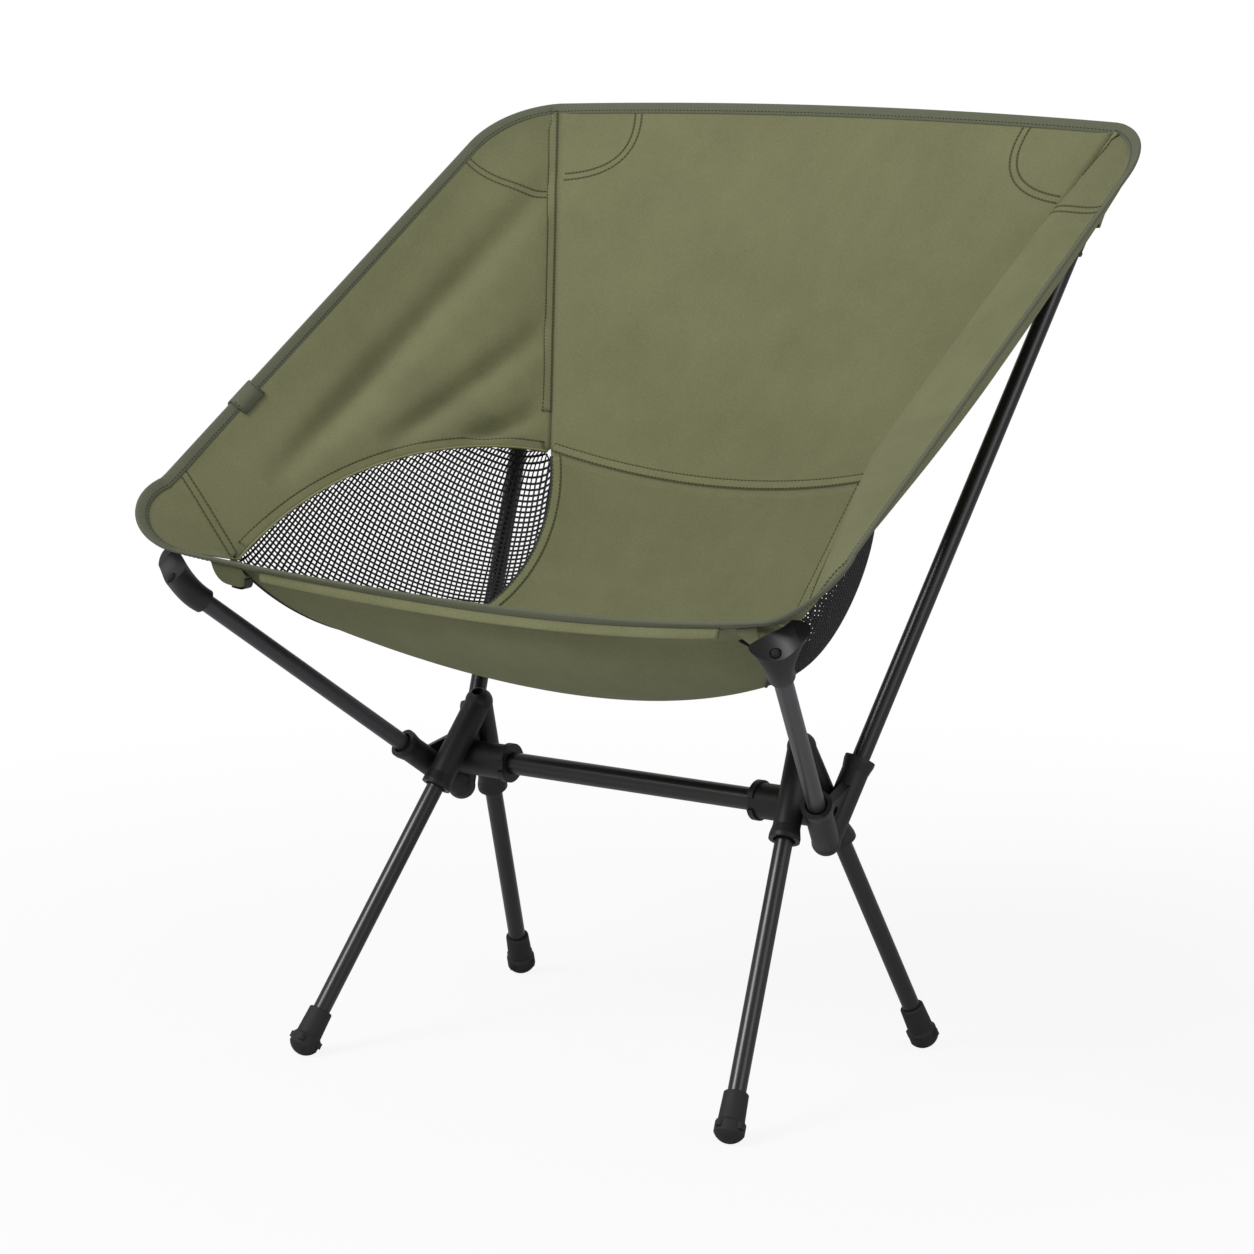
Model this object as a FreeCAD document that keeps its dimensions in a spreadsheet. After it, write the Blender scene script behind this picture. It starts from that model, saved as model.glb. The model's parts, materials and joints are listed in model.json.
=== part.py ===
import FreeCAD, Part
import Sketcher
import math
import os

# Low folding camp chair: shock-corded pole frame with two moulded hubs and a cloth sling.
# Millimetres. X points to the viewer's right, the chair faces -Y, Z points up.
# The origin is on the floor under the middle of the whole chair.

os.makedirs("parts", exist_ok=True)
doc = FreeCAD.newDocument("camp_chair")
V = FreeCAD.Vector

# Driving sizes: name, value, what it is.
# Places in Y count from the crossbar's axis, and "side" places are those of the right half.
SIZES = [
    ("bar_place", -30.1, "crossbar axis in Y, so that the chair is centred on its origin"),
    ("bar_height", 199, "crossbar axis above the floor"),
    ("bar_outer", 16.5, "crossbar outside diameter"),
    ("bar_wall", 1.3, "crossbar wall"),
    ("bar_mouth", 107, "crossbar socket mouth, from the middle of the chair"),
    ("bar_depth", 43, "how far the crossbar plugs into a hub"),
    ("tube_outer", 13, "pole and leg outside diameter"),
    ("tube_wall", 1.1, "pole and leg wall"),
    ("tube_depth", 46, "how far a pole or leg plugs into a hub"),
    ("fit_gap", 0.08, "radial clearance of a tube in its socket"),
    ("part_gap", 0.3, "clearance between neighbouring pieces"),
    ("leg_apex_side", 141, "where the two leg axes of a hub meet, X"),
    ("leg_apex_back", 5, "the same, Y"),
    ("leg_apex_height", 241, "the same, Z"),
    ("pole_apex_side", 160, "where the two pole axes of a hub meet, X"),
    ("pole_apex_back", 8, "the same, Y"),
    ("pole_apex_height", 174, "the same, Z"),
    ("front_foot_side", 185.4, "front leg axis at the floor, X"),
    ("front_foot_back", -161.9, "the same, Y"),
    ("rear_foot_side", 183.1, "rear leg axis at the floor, X"),
    ("rear_foot_back", 118.7, "the same, Y"),
    ("seat_tip_side", 251.2, "end of the front seat pole, X"),
    ("seat_tip_back", -209.1, "the same, Y"),
    ("seat_tip_height", 352.9, "the same, Z"),
    ("back_tip_side", 238.3, "end of the back pole, X"),
    ("back_tip_back", 268, "the same, Y"),
    ("back_tip_height", 640.4, "the same, Z"),
    ("front_leg_mouth", 72, "apex to the mouth of the front leg socket"),
    ("rear_leg_mouth", 82, "apex to the mouth of the rear leg socket"),
    ("pole_mouth", 64, "apex to the mouth of a pole socket"),
    ("socket_outer", 19.8, "socket outside diameter"),
    ("rim_outer", 22.6, "socket rim outside diameter"),
    ("rim_length", 10, "length of the thicker rim"),
    ("lead_in", 16, "diameter of the open lead-in at a socket mouth"),
    ("lead_depth", 5, "depth of the lead-in"),
    ("bar_socket_outer", 26, "crossbar socket outside diameter"),
    ("flange_outer", 29.4, "flange of the crossbar socket"),
    ("flange_width", 4.5, "width of that flange"),
    ("web_thick", 7, "webs that join the sockets"),
    ("web_reach", 50, "how far a web runs out along its sockets"),
    ("cord_outer", 3, "shock cord diameter"),
    ("cord_hole", 4, "hole for the shock cord"),
    ("knot_outer", 6.6, "shock cord knot"),
    ("knot_room", 8, "diameter of the recess for a knot"),
    ("plug_length", 14, "cord anchor plug inside a tube end"),
    ("foot_dome", 12, "radius of the rubber foot's dome"),
    ("foot_sleeve", 17.6, "outside diameter of the foot's sleeve"),
    ("foot_length", 24, "foot's mouth to the centre of its dome"),
    ("foot_flat", 0.5, "how deep the dome is flattened where it stands"),
    ("lug_reach", 12.9, "foot lugs, from the foot's axis"),
    ("lug_outer", 5.6, "diameter of a foot lug"),
    ("cap_length", 38, "front cap, along its pole"),
    ("cap_collar", 18.6, "outside diameter of the cap's collar"),
    ("cap_wide", 42, "width of the cap's saddle"),
    ("cap_deep", 22, "depth of the cap's saddle"),
    ("cap_cover", 28, "how far the pole goes into the cap"),
    ("cap_tilt", 38, "turn of the saddle about its pole, degrees from level"),
    ("cap_lift", 8.5, "how far the saddle rises from the pole's line to the cloth's corner"),
    ("saddle_round", 26, "radius of the saddle's hollow"),
    ("sleeve_outer", 15.4, "sleeve on the back pole's end, outside diameter"),
    ("sleeve_length", 82, "length of that sleeve"),
    ("cloth_thick", 1, "sling cloth"),
    ("seam_gap", 0.5, "from a seam to the cut edge of each panel beside it"),
    ("edge_side", 289, "side edge of the sling, X"),
    ("top_mid_back", 276, "top edge at the middle, Y"),
    ("top_mid_height", 673.5, "the same, Z"),
    ("top_end_side", 248, "top edge at its end, X"),
    ("top_end_back", 266, "the same, Y"),
    ("top_end_height", 668.5, "the same, Z"),
    ("rear_corner_side", 275, "middle of the rear corner's round, X"),
    ("rear_corner_back", 241, "the same, Y"),
    ("rear_corner_height", 660.5, "the same, Z"),
    ("side_rear_back", 200, "rear end of the straight side edge, Y"),
    ("side_rear_height", 638.5, "the same, Z"),
    ("side_front_back", -176, "front end of the straight side edge, Y"),
    ("side_front_height", 418.5, "the same, Z"),
    ("front_corner_side", 279, "middle of the front corner's round, X"),
    ("front_corner_back", -214, "the same, Y"),
    ("front_corner_height", 392, "the same, Z"),
    ("front_end_side", 248, "front edge at its end, X"),
    ("front_end_back", -213, "the same, Y"),
    ("front_end_height", 375.5, "the same, Z"),
    ("front_mid_back", -153, "front edge at the middle, Y"),
    ("front_mid_height", 349, "the same, Z"),
    ("stitch_side", 139, "end of the seam between back and seat, X"),
    ("stitch_back", 97, "the same, Y"),
    ("stitch_height", 418.5, "the same, Z"),
    ("stitch_mid_back", 107, "that seam at the middle, Y"),
    ("stitch_mid_height", 401, "the same, Z"),
    ("seat_low_back", -40, "lowest point of the seat, Y"),
    ("seat_low_height", 272, "the same, Z"),
    ("seat_sag_rear", 21, "how far the seat's rear half sags below its chord"),
    ("seat_sag_front", 22, "the same of its front half"),
    ("window_tip_side", 235, "front tip of the side window, X"),
    ("window_tip_back", -162, "the same, Y"),
    ("window_tip_height", 361, "the same, Z"),
    ("window_low_side", 145, "a point at the window's lower rim, X"),
    ("window_low_back", -40, "the same, Y"),
    ("window_low_height", 303, "the same, Z"),
    ("window_rise", 34, "window's upper rim above its chord"),
    ("window_drop", 97, "window's lower rim below its chord"),
    ("net_thick", 1, "window net"),
    ("net_bulge", 36, "how far the net bellies out of the window's plane"),
    ("net_bar", 3.2, "width of the net's threads as modelled"),
    ("net_pitch", 11.5, "distance between the net's gaps"),
    ("fold_depth", 9, "depth of the wing's long fold"),
    ("binding_wide", 10, "binding, across"),
    ("binding_thick", 3.6, "binding, over both its faces"),
    ("binding_wall", 0.75, "binding tape"),
    ("binding_lap", 2, "how far the binding stands out past the cloth's edge"),
    ("tape_wide", 9, "seam tape and pocket tape"),
    ("tape_thick", 1, "seam tape and pocket tape"),
    ("hem_wide", 10, "hem under the front edge"),
    ("tag_wide", 15, "loop tag, across"),
    ("tag_length", 26, "loop tag, along the edge"),
    ("tag_thick", 1, "loop tag's tape"),
    ("pocket_drop", 26, "front pocket's mouth below the front edge"),
    ("pocket_back", 30, "front pocket's mouth behind the front edge"),
    ("pocket_belly", 6.5, "how far the front pocket bellies out"),
    ("rear_belly", 3.4, "how far the rear pocket stands off the sleeve"),
]

sheet = doc.addObject("Spreadsheet::Sheet", "Dims")
for row, (name, value, words) in enumerate(SIZES, start=1):
    sheet.set("A%d" % row, words)
    sheet.set("B%d" % row, str(value))
    sheet.setAlias("B%d" % row, name)
doc.recompute()

size = {name: float(sheet.get(name)) for name, value, words in SIZES}
GAP = size["part_gap"]
X_AXIS = V(1, 0, 0)
Z_AXIS = V(0, 0, 1)
nodes = []


def place(prefix):
    """A point of the right half from three driving sizes: side, back, height."""
    return V(size[prefix + "_side"], size[prefix + "_back"] + size["bar_place"], size[prefix + "_height"])


def middle(prefix):
    """A point in the chair's middle plane."""
    return V(0, size[prefix + "_back"] + size["bar_place"], size[prefix + "_height"])


def unit(vector):
    return V(vector).normalize()


def mix(a, b, share):
    return a + (b - a) * share


def keep(obj, label):
    """Name a finished piece and list it as a node."""
    obj.Label = label
    nodes.append(obj)
    return obj


def mirror_of(obj, label):
    """The left piece of a pair."""
    twin = doc.addObject("Part::Mirroring", label)
    twin.Source = obj
    twin.Base = V(0, 0, 0)
    twin.Normal = X_AXIS
    return keep(twin, label)


def along(start, direction):
    """A placement whose Z runs along a direction."""
    return FreeCAD.Placement(start, FreeCAD.Rotation(Z_AXIS, direction))


def plane_of(body, role):
    for feature in body.Origin.OriginFeatures:
        if feature.Role == role:
            return feature
    raise ValueError(role)


def new_sketch(body, role, name):
    sketch = body.newObject("Sketcher::SketchObject", name)
    sketch.AttachmentSupport = [(plane_of(body, role), "")]
    sketch.MapMode = "FlatFace"
    return sketch


def ring_sketch(body, name, radii):
    """Concentric circles whose radii follow the sheet."""
    sketch = new_sketch(body, "XY_Plane", name)
    for index, (word, expression) in enumerate(radii):
        sketch.addGeometry(Part.Circle(V(0, 0, 0), Z_AXIS, 5.0 + index), False)
        sketch.addConstraint(Sketcher.Constraint("Coincident", index, 3, -1, 1))
        number = sketch.addConstraint(Sketcher.Constraint("Radius", index, 5.0 + index))
        sketch.renameConstraint(number, word)
        sketch.setExpression("Constraints." + word, expression)
    return sketch


def tube(label, start, direction, length, outer, wall):
    """A drawn tube: a ring padded along its axis."""
    body = doc.addObject("PartDesign::Body", label)
    sketch = ring_sketch(body, label + "_ring", [
        ("outer", "Dims.%s / 2" % outer),
        ("inner", "Dims.%s / 2 - Dims.%s" % (outer, wall)),
    ])
    pad = body.newObject("PartDesign::Pad", label + "_pad")
    pad.Profile = sketch
    pad.Length = length
    sketch.Visibility = False
    body.Placement = along(start, direction)
    return body


def turned(label, start, direction, profile):
    """A turned piece: a closed profile of (radius, height) points spun about its axis.

    A point with a third number bulges the line that leads to it into an arc.
    """
    body = doc.addObject("PartDesign::Body", label)
    sketch = new_sketch(body, "XZ_Plane", label + "_profile")
    count = len(profile)
    for index in range(count):
        here = profile[index]
        there = profile[(index + 1) % count]
        first = V(here[0], here[1], 0)
        last = V(there[0], there[1], 0)
        if len(there) > 2:
            chord = last - first
            side = unit(V(chord.y, -chord.x, 0))
            crown = (first + last) * 0.5 + side * there[2]
            sketch.addGeometry(Part.Arc(first, crown, last), False)
        else:
            sketch.addGeometry(Part.LineSegment(first, last), False)
    spin = body.newObject("PartDesign::Revolution", label + "_spin")
    spin.Profile = sketch
    spin.ReferenceAxis = (sketch, ["V_Axis"])
    spin.Angle = 360
    body.Placement = along(start, direction)
    return body


def rod(name, start, direction, length, radius_expression):
    """A plain round bar used to build up or to bore a moulding."""
    piece = doc.addObject("Part::Cylinder", name)
    piece.setExpression("Radius", radius_expression)
    piece.Height = length
    piece.Placement = along(start, direction)
    return piece


def ball(name, centre, radius_expression):
    piece = doc.addObject("Part::Sphere", name)
    piece.setExpression("Radius", radius_expression)
    piece.Placement = FreeCAD.Placement(centre, FreeCAD.Rotation())
    return piece


def joined(name, pieces):
    fuse = doc.addObject("Part::MultiFuse", name)
    fuse.Shapes = pieces
    return fuse


def cut_from(name, base, tools):
    """Cut several tools out of a piece at once."""
    cutter = joined(name + "_tools", tools) if len(tools) > 1 else tools[0]
    piece = doc.addObject("Part::Cut", name)
    piece.Base = base
    piece.Tool = cutter
    return piece


# The places where the frame's axes meet, and the directions that they run in.
leg_apex = place("leg_apex")
pole_apex = place("pole_apex")
bar_line = V(0, size["bar_place"], size["bar_height"])


def floor_point(prefix):
    return V(size[prefix + "_side"], size[prefix + "_back"] + size["bar_place"], 0)


AXES = {
    "front_leg": (leg_apex, floor_point("front_foot"), size["front_leg_mouth"]),
    "rear_leg": (leg_apex, floor_point("rear_foot"), size["rear_leg_mouth"]),
    "seat_pole": (pole_apex, place("seat_tip"), size["pole_mouth"]),
    "back_pole": (pole_apex, place("back_tip"), size["pole_mouth"]),
}


def direction_of(name):
    apex, end, mouth = AXES[name]
    return unit(end - apex)


def reach_of(name):
    apex, end, mouth = AXES[name]
    return (end - apex).Length


# Hub: four tube sockets and the crossbar socket in one moulding.
LIP = 3
LIP_OVERLAP = 0.01
KNOT_AT = 16
BAR_KNOT_AT = 4
NOTCH = 9
KNUCKLE_OVER = 0.6
THROUGH = 60
hub_solids = []
hub_bores = []
for name, (apex, end, mouth) in AXES.items():
    way = direction_of(name)
    inner_end = mouth - size["tube_depth"] - GAP
    rim_start = apex + way * (mouth - size["rim_length"])
    hub_solids.append(rod(name + "_socket", apex, way, mouth, "Dims.socket_outer / 2"))
    rim = doc.addObject("Part::Cone", name + "_rim")
    rim.setExpression("Radius1", "Dims.socket_outer / 2")
    rim.setExpression("Radius2", "Dims.rim_outer / 2")
    rim.setExpression("Height", "Dims.rim_length - %s" % LIP)
    rim.Placement = along(rim_start, way)
    lip_length = LIP + LIP_OVERLAP
    lip = rod(name + "_lip", apex + way * (mouth - lip_length), way, lip_length, "Dims.rim_outer / 2")
    hub_solids += [rim, lip]
    hub_bores.append(rod(name + "_bore", apex + way * inner_end, way, mouth, "Dims.tube_outer / 2 + Dims.fit_gap"))
    lead = rod(name + "_lead", apex + way * (mouth - size["lead_depth"]), way, mouth, "Dims.lead_in / 2")
    hub_bores.append(lead)
    hub_bores.append(rod(name + "_cord_hole", apex, way, mouth / 2, "Dims.cord_hole / 2"))

for name in ("front_leg", "rear_leg"):
    way = direction_of(name)
    room = rod(name + "_knot_room", leg_apex + way * KNOT_AT, way * -1, THROUGH, "Dims.knot_room / 2")
    hub_bores.append(room)

bar_start = V(size["bar_mouth"], bar_line.y, bar_line.z)
bar_end = size["bar_mouth"] + size["bar_depth"]
hub_solids.append(rod("bar_socket", bar_start, X_AXIS, size["bar_depth"] + 9, "Dims.bar_socket_outer / 2"))
flange = rod("bar_flange", bar_start, X_AXIS, size["flange_width"], "Dims.flange_outer / 2")
notch = doc.addObject("Part::Box", "flange_notch")
notch.setExpression("Length", "Dims.flange_width")
notch.Width = THROUGH
notch.Height = NOTCH
notch.Placement = FreeCAD.Placement(bar_start + V(0, -THROUGH / 2, -NOTCH / 2), FreeCAD.Rotation())
notched_flange = cut_from("notched_flange", flange, [notch])
hub_solids.append(notched_flange)
hub_solids.append(ball("leg_knuckle", leg_apex, "Dims.socket_outer / 2 + %s" % KNUCKLE_OVER))
hub_solids.append(ball("pole_knuckle", pole_apex, "Dims.socket_outer / 2 + %s" % KNUCKLE_OVER))
hub_bores.append(ball("cord_turn", pole_apex, "Dims.cord_hole / 2"))
hub_bores.append(rod("bar_bore", bar_start - X_AXIS, X_AXIS, size["bar_depth"] + GAP + 1,
                     "Dims.bar_outer / 2 + Dims.fit_gap"))
hub_bores.append(rod("bar_cord_hole", bar_start, X_AXIS, size["bar_depth"] + 10, "Dims.cord_hole / 2"))
bar_room_start = V(bar_end + BAR_KNOT_AT, bar_line.y, bar_line.z)
hub_bores.append(rod("bar_knot_room", bar_room_start, X_AXIS, THROUGH, "Dims.knot_room / 2"))


def web(name, apex, first, second):
    """A plate between two sockets that leave one apex."""
    reach = size["web_reach"]
    corners = [apex, apex + direction_of(first) * reach, apex + direction_of(second) * reach, apex]
    face = Part.Face(Part.makePolygon(corners))
    across = face.normalAt(0, 0)
    half = size["web_thick"] / 2
    face.translate(across * -half)
    piece = doc.addObject("Part::Feature", name)
    piece.Shape = face.extrude(across * size["web_thick"])
    return piece


hub_solids.append(web("leg_web", leg_apex, "front_leg", "rear_leg"))
hub_solids.append(web("pole_web", pole_apex, "seat_pole", "back_pole"))
hub_body = joined("hub_moulding", hub_solids)
hub = cut_from("right_hub", hub_body, hub_bores)
keep(hub, "right_hub")
mirror_of(hub, "left_hub")

# Crossbar and its shock cord.
crossbar = tube("crossbar", V(-bar_end, bar_line.y, bar_line.z), X_AXIS, bar_end * 2, "bar_outer", "bar_wall")
keep(crossbar, "crossbar")
knot_place = bar_end + BAR_KNOT_AT + size["knot_outer"] / 2 + GAP
bar_cord = joined("crossbar_cord", [
    rod("bar_cord_run", V(-knot_place, bar_line.y, bar_line.z), X_AXIS, knot_place * 2, "Dims.cord_outer / 2"),
    ball("bar_knot_right", V(knot_place, bar_line.y, bar_line.z), "Dims.knot_outer / 2"),
    ball("bar_knot_left", V(-knot_place, bar_line.y, bar_line.z), "Dims.knot_outer / 2"),
])
keep(bar_cord, "crossbar_cord")


def plug(label, start, way):
    """A short plug that fits inside a tube's end and anchors the cord."""
    body = doc.addObject("PartDesign::Body", label)
    sketch = ring_sketch(body, label + "_ring", [
        ("outer", "Dims.tube_outer / 2 - Dims.tube_wall - Dims.fit_gap"),
        ("inner", "Dims.cord_hole / 2"),
    ])
    pad = body.newObject("PartDesign::Pad", label + "_pad")
    pad.Profile = sketch
    pad.setExpression("Length", "Dims.plug_length")
    body.Placement = along(start, way)
    return body


FOOT_ROOM = 6.5
LUG_HIGH = 4.4


def foot(label, mouth_point, way):
    """A rubber foot: sleeve, four lugs on a ring and a dome flattened where it stands."""
    dome = size["foot_dome"]
    length = size["foot_length"]
    bore = size["tube_outer"] / 2 + size["fit_gap"]
    sleeve = size["foot_sleeve"] / 2
    ring = dome * 0.9
    ring_low = length + math.sqrt(dome ** 2 - ring ** 2)
    seat = length - 0.7
    room = size["knot_room"] / 2
    profile = [
        (bore, 0),
        (sleeve - 0.7, 0),
        (sleeve, 0.8),
        (sleeve + 0.6, length - 4),
        (ring, length - 2),
        (ring, ring_low),
        (0, length + dome, dome - math.sqrt(dome ** 2 - (ring ** 2 + (length + dome - ring_low) ** 2) / 4)),
        (0, length + FOOT_ROOM),
        (room, length + FOOT_ROOM),
        (room, seat),
        (bore, seat),
    ]
    body = turned(label + "_turned", mouth_point, way, profile)
    lug = doc.addObject("Part::Cylinder", label + "_lug")
    lug.setExpression("Radius", "Dims.lug_outer / 2")
    lug.Height = LUG_HIGH
    lugs = []
    spin = along(mouth_point, way)
    for quarter in range(4):
        copy = lug if quarter == 0 else doc.copyObject(lug)
        turn = FreeCAD.Rotation(Z_AXIS, 45 + 90 * quarter)
        offset = turn.multVec(V(size["lug_reach"] - size["lug_outer"] / 2, 0, length - 1.6))
        copy.Placement = spin.multiply(FreeCAD.Placement(offset, FreeCAD.Rotation()))
        lugs.append(copy)
    core = rod(label + "_core", mouth_point, way, length + FOOT_ROOM, "Dims.knot_room / 2")
    bored = rod(label + "_bored", mouth_point, way, seat, "Dims.tube_outer / 2 + Dims.fit_gap")
    floor = doc.addObject("Part::Box", label + "_floor")
    floor.Length = 80
    floor.Width = 80
    floor.Height = 40
    floor.Placement = FreeCAD.Placement(V(mouth_point.x - 40, mouth_point.y - 40, -40), FreeCAD.Rotation())
    whole = joined(label + "_whole", [body] + lugs)
    return cut_from(label, whole, [core, bored, floor])


# Legs: tube, rubber foot, cord anchor and shock cord, each leg plugged into its hub.
for name in ("front_leg", "rear_leg"):
    apex, end, mouth = AXES[name]
    way = direction_of(name)
    slope = abs(way.z)
    dome_centre = reach_of(name) - (size["foot_dome"] - size["foot_flat"]) / slope
    tube_start = mouth - size["tube_depth"]
    tube_stop = dome_centre - 1
    leg = tube("right_" + name, apex + way * tube_start, way, tube_stop - tube_start, "tube_outer", "tube_wall")
    keep(leg, "right_" + name)
    mirror_of(leg, "left_" + name)
    boot = foot("right_" + name.replace("leg", "foot"), apex + way * (dome_centre - size["foot_length"]), way)
    keep(boot, "right_" + name.replace("leg", "foot"))
    mirror_of(boot, "left_" + name.replace("leg", "foot"))
    anchor = plug("right_" + name + "_plug", apex + way * (tube_stop - size["plug_length"]), way)
    keep(anchor, "right_" + name + "_plug")
    mirror_of(anchor, "left_" + name + "_plug")
    top_knot = apex + way * (KNOT_AT - size["knot_outer"] / 2 - GAP)
    low_knot = apex + way * (tube_stop + size["knot_outer"] / 2 + GAP)
    cord = joined("right_" + name + "_cord", [
        rod(name + "_cord_run", top_knot, way, (low_knot - top_knot).Length, "Dims.cord_outer / 2"),
        ball(name + "_top_knot", top_knot, "Dims.knot_outer / 2"),
        ball(name + "_low_knot", low_knot, "Dims.knot_outer / 2"),
    ])
    keep(cord, "right_" + name + "_cord")
    mirror_of(cord, "left_" + name + "_cord")

# Poles that hold the sling, with their cord anchors and the cord that runs through the hub.
knot_points = {}
for name in ("seat_pole", "back_pole"):
    apex, end, mouth = AXES[name]
    way = direction_of(name)
    start = mouth - size["tube_depth"]
    stop = reach_of(name)
    pole = tube("right_" + name, apex + way * start, way, stop - start, "tube_outer", "tube_wall")
    keep(pole, "right_" + name)
    mirror_of(pole, "left_" + name)
    anchor = plug("right_" + name + "_plug", apex + way * (stop - size["plug_length"]), way)
    keep(anchor, "right_" + name + "_plug")
    mirror_of(anchor, "left_" + name + "_plug")
    knot_points[name] = apex + way * (stop + size["knot_outer"] / 2 + GAP)

cord_parts = [ball("cord_bend", pole_apex, "Dims.cord_outer / 2")]
for name, knot in knot_points.items():
    cord_parts.append(rod(name + "_cord_run", pole_apex, direction_of(name), (knot - pole_apex).Length,
                          "Dims.cord_outer / 2"))
    cord_parts.append(ball(name + "_knot", knot, "Dims.knot_outer / 2"))
pole_cord = joined("right_pole_cord", cord_parts)
keep(pole_cord, "right_pole_cord")
mirror_of(pole_cord, "left_pole_cord")

# Sleeve on the back pole's end, with a lip at its mouth and a rounded closed end.
way = direction_of("back_pole")
sleeve_end = 10
SLEEVE_ROOM = 7.5
sleeve_start = pole_apex + way * (reach_of("back_pole") + sleeve_end - size["sleeve_length"])
outer = size["sleeve_outer"] / 2
bore = size["tube_outer"] / 2 + size["fit_gap"]
depth = size["sleeve_length"] - sleeve_end + GAP
sleeve = turned("right_back_sleeve", sleeve_start, way, [
    (bore, 0),
    (outer + 0.7, 0),
    (outer + 0.7, 1.6),
    (outer, 2.2),
    (outer, size["sleeve_length"] - 5),
    (outer - 5, size["sleeve_length"], 1.464),
    (0, size["sleeve_length"]),
    (0, depth + SLEEVE_ROOM),
    (size["knot_room"] / 2, depth + SLEEVE_ROOM),
    (size["knot_room"] / 2, depth),
    (bore, depth),
])
keep(sleeve, "right_back_sleeve")
mirror_of(sleeve, "left_back_sleeve")

# The sling's outline, from the top edge round the corners to the front edge.
TOP_MID = middle("top_mid")
TOP_END = place("top_end")
FRONT_MID = middle("front_mid")
FRONT_END = place("front_end")
SIDE_REAR = V(size["edge_side"], size["side_rear_back"] + size["bar_place"], size["side_rear_height"])
SIDE_FRONT = V(size["edge_side"], size["side_front_back"] + size["bar_place"], size["side_front_height"])
STITCH = place("stitch")
STITCH_MID = middle("stitch_mid")
WINDOW_TIP = place("window_tip")
REAR_CORNER = Part.Arc(TOP_END, place("rear_corner"), SIDE_REAR)
FRONT_CORNER = Part.Arc(SIDE_FRONT, place("front_corner"), FRONT_END)


def on_arc(arc, share):
    return arc.value(arc.FirstParameter + share * (arc.LastParameter - arc.FirstParameter))


def flip(point):
    return V(-point.x, point.y, point.z)


# The window's own plane: one axis along its chord, the other down to its lower rim.
chord = WINDOW_TIP - STITCH
window_along = unit(chord)
low_point = place("window_low") - STITCH
window_down = unit(low_point - window_along * low_point.dot(window_along))
window_out = window_along.cross(window_down)


def window_point(along_chord, down):
    return STITCH + window_along * along_chord + window_down * down


half_chord = chord.Length / 2
UPPER_RIM = Part.Arc(STITCH, window_point(half_chord, -size["window_rise"]), WINDOW_TIP)
LOWER_RIM = Part.Arc(STITCH, window_point(half_chord, size["window_drop"]), WINDOW_TIP)

# The seat's middle line: two sagging arcs that meet at its lowest point.
SEAT_LOW = middle("seat_low")


def sagging(start, end, sag):
    run = end - start
    down = unit(V(0, run.z, -run.y))
    if down.z > 0:
        down = down * -1
    return Part.Arc(start, (start + end) * 0.5 + down * sag, end)


SEAT_REAR_LINE = sagging(STITCH_MID, SEAT_LOW, size["seat_sag_rear"])
SEAT_FRONT_LINE = sagging(SEAT_LOW, FRONT_MID, size["seat_sag_front"])
REAR_SHARE = 0.56
SITTER = V(0, size["bar_place"], size["stitch_height"] + 60)


def seat_line(share):
    if share <= REAR_SHARE:
        return on_arc(SEAT_REAR_LINE, share / REAR_SHARE)
    return on_arc(SEAT_FRONT_LINE, (share - REAR_SHARE) / (1 - REAR_SHARE))


class Row:
    """One line across a panel: arcs through its points, with the cloth's normal there."""

    def __init__(self, points, normal, normals=None):
        self.points = points
        self.normal = normal
        self.normals = normals or [normal] * len(points)
        self.arcs = [Part.Arc(*points[i:i + 3]) for i in range(0, len(points) - 2, 2)]

    def at(self, share):
        scaled = share * len(self.arcs)
        index = min(int(scaled), len(self.arcs) - 1)
        return on_arc(self.arcs[index], scaled - index)

    def part(self, first, last):
        """The same line between two shares of its length."""
        count = len(self.arcs) * 2
        return Row([self.at(first + (last - first) * i / count) for i in range(count + 1)], self.normal)


def row_between(a, b, share):
    """A line on the ruled surface between two rows."""
    points = [mix(p, q, share) for p, q in zip(a.points, b.points)]
    return Row(points, unit(mix(a.normal, b.normal, share)))


def with_normals(lines):
    """Turn lists of points into rows whose normals face the sitter."""
    rows = []
    for index, points in enumerate(lines):
        before = lines[max(index - 1, 0)]
        after = lines[min(index + 1, len(lines) - 1)]
        run = (after[0] - before[0]) + (after[-1] - before[-1]) + (after[len(after) // 2] - before[len(before) // 2])
        across = points[-1] - points[0]
        normal = unit(run.cross(across))
        if normal.dot(SITTER - points[len(points) // 2]) < 0:
            normal = normal * -1
        rows.append(Row(points, normal))
    return rows


def arcs_through(points):
    return [Part.Arc(*points[i:i + 3]).toShape() for i in range(0, len(points) - 2, 2)]


def cloth(rows, low, high):
    """A thin solid over rows, from one height over the cloth's middle surface to another."""
    layers = []
    for row in rows:
        lower = [p + n * low for p, n in zip(row.points, row.normals)]
        upper = [p + n * high for p, n in zip(row.points, row.normals)]
        layers.append((arcs_through(lower), arcs_through(upper)))
    faces = []
    for (low_a, high_a), (low_b, high_b) in zip(layers, layers[1:]):
        faces += [Part.makeRuledSurface(a, b) for a, b in zip(low_a + high_a, low_b + high_b)]
        for end in (0, -1):
            points = [edges[end].Vertexes[end].Point for edges in (low_a, high_a, high_b, low_b)]
            sides = [Part.makeLine(points[i], points[(i + 1) % 4]) for i in range(4)]
            faces.append(Part.makeRuledSurface(sides[0], sides[2]))
    for lower, upper in (layers[0], layers[-1]):
        faces += [Part.makeRuledSurface(a, b) for a, b in zip(lower, upper)]
    skin = Part.makeCompound(faces)
    skin.sewShape()
    solid = Part.makeSolid(skin.Shells[0])
    if solid.Volume < 0:
        solid.reverse()
    return solid


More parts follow.
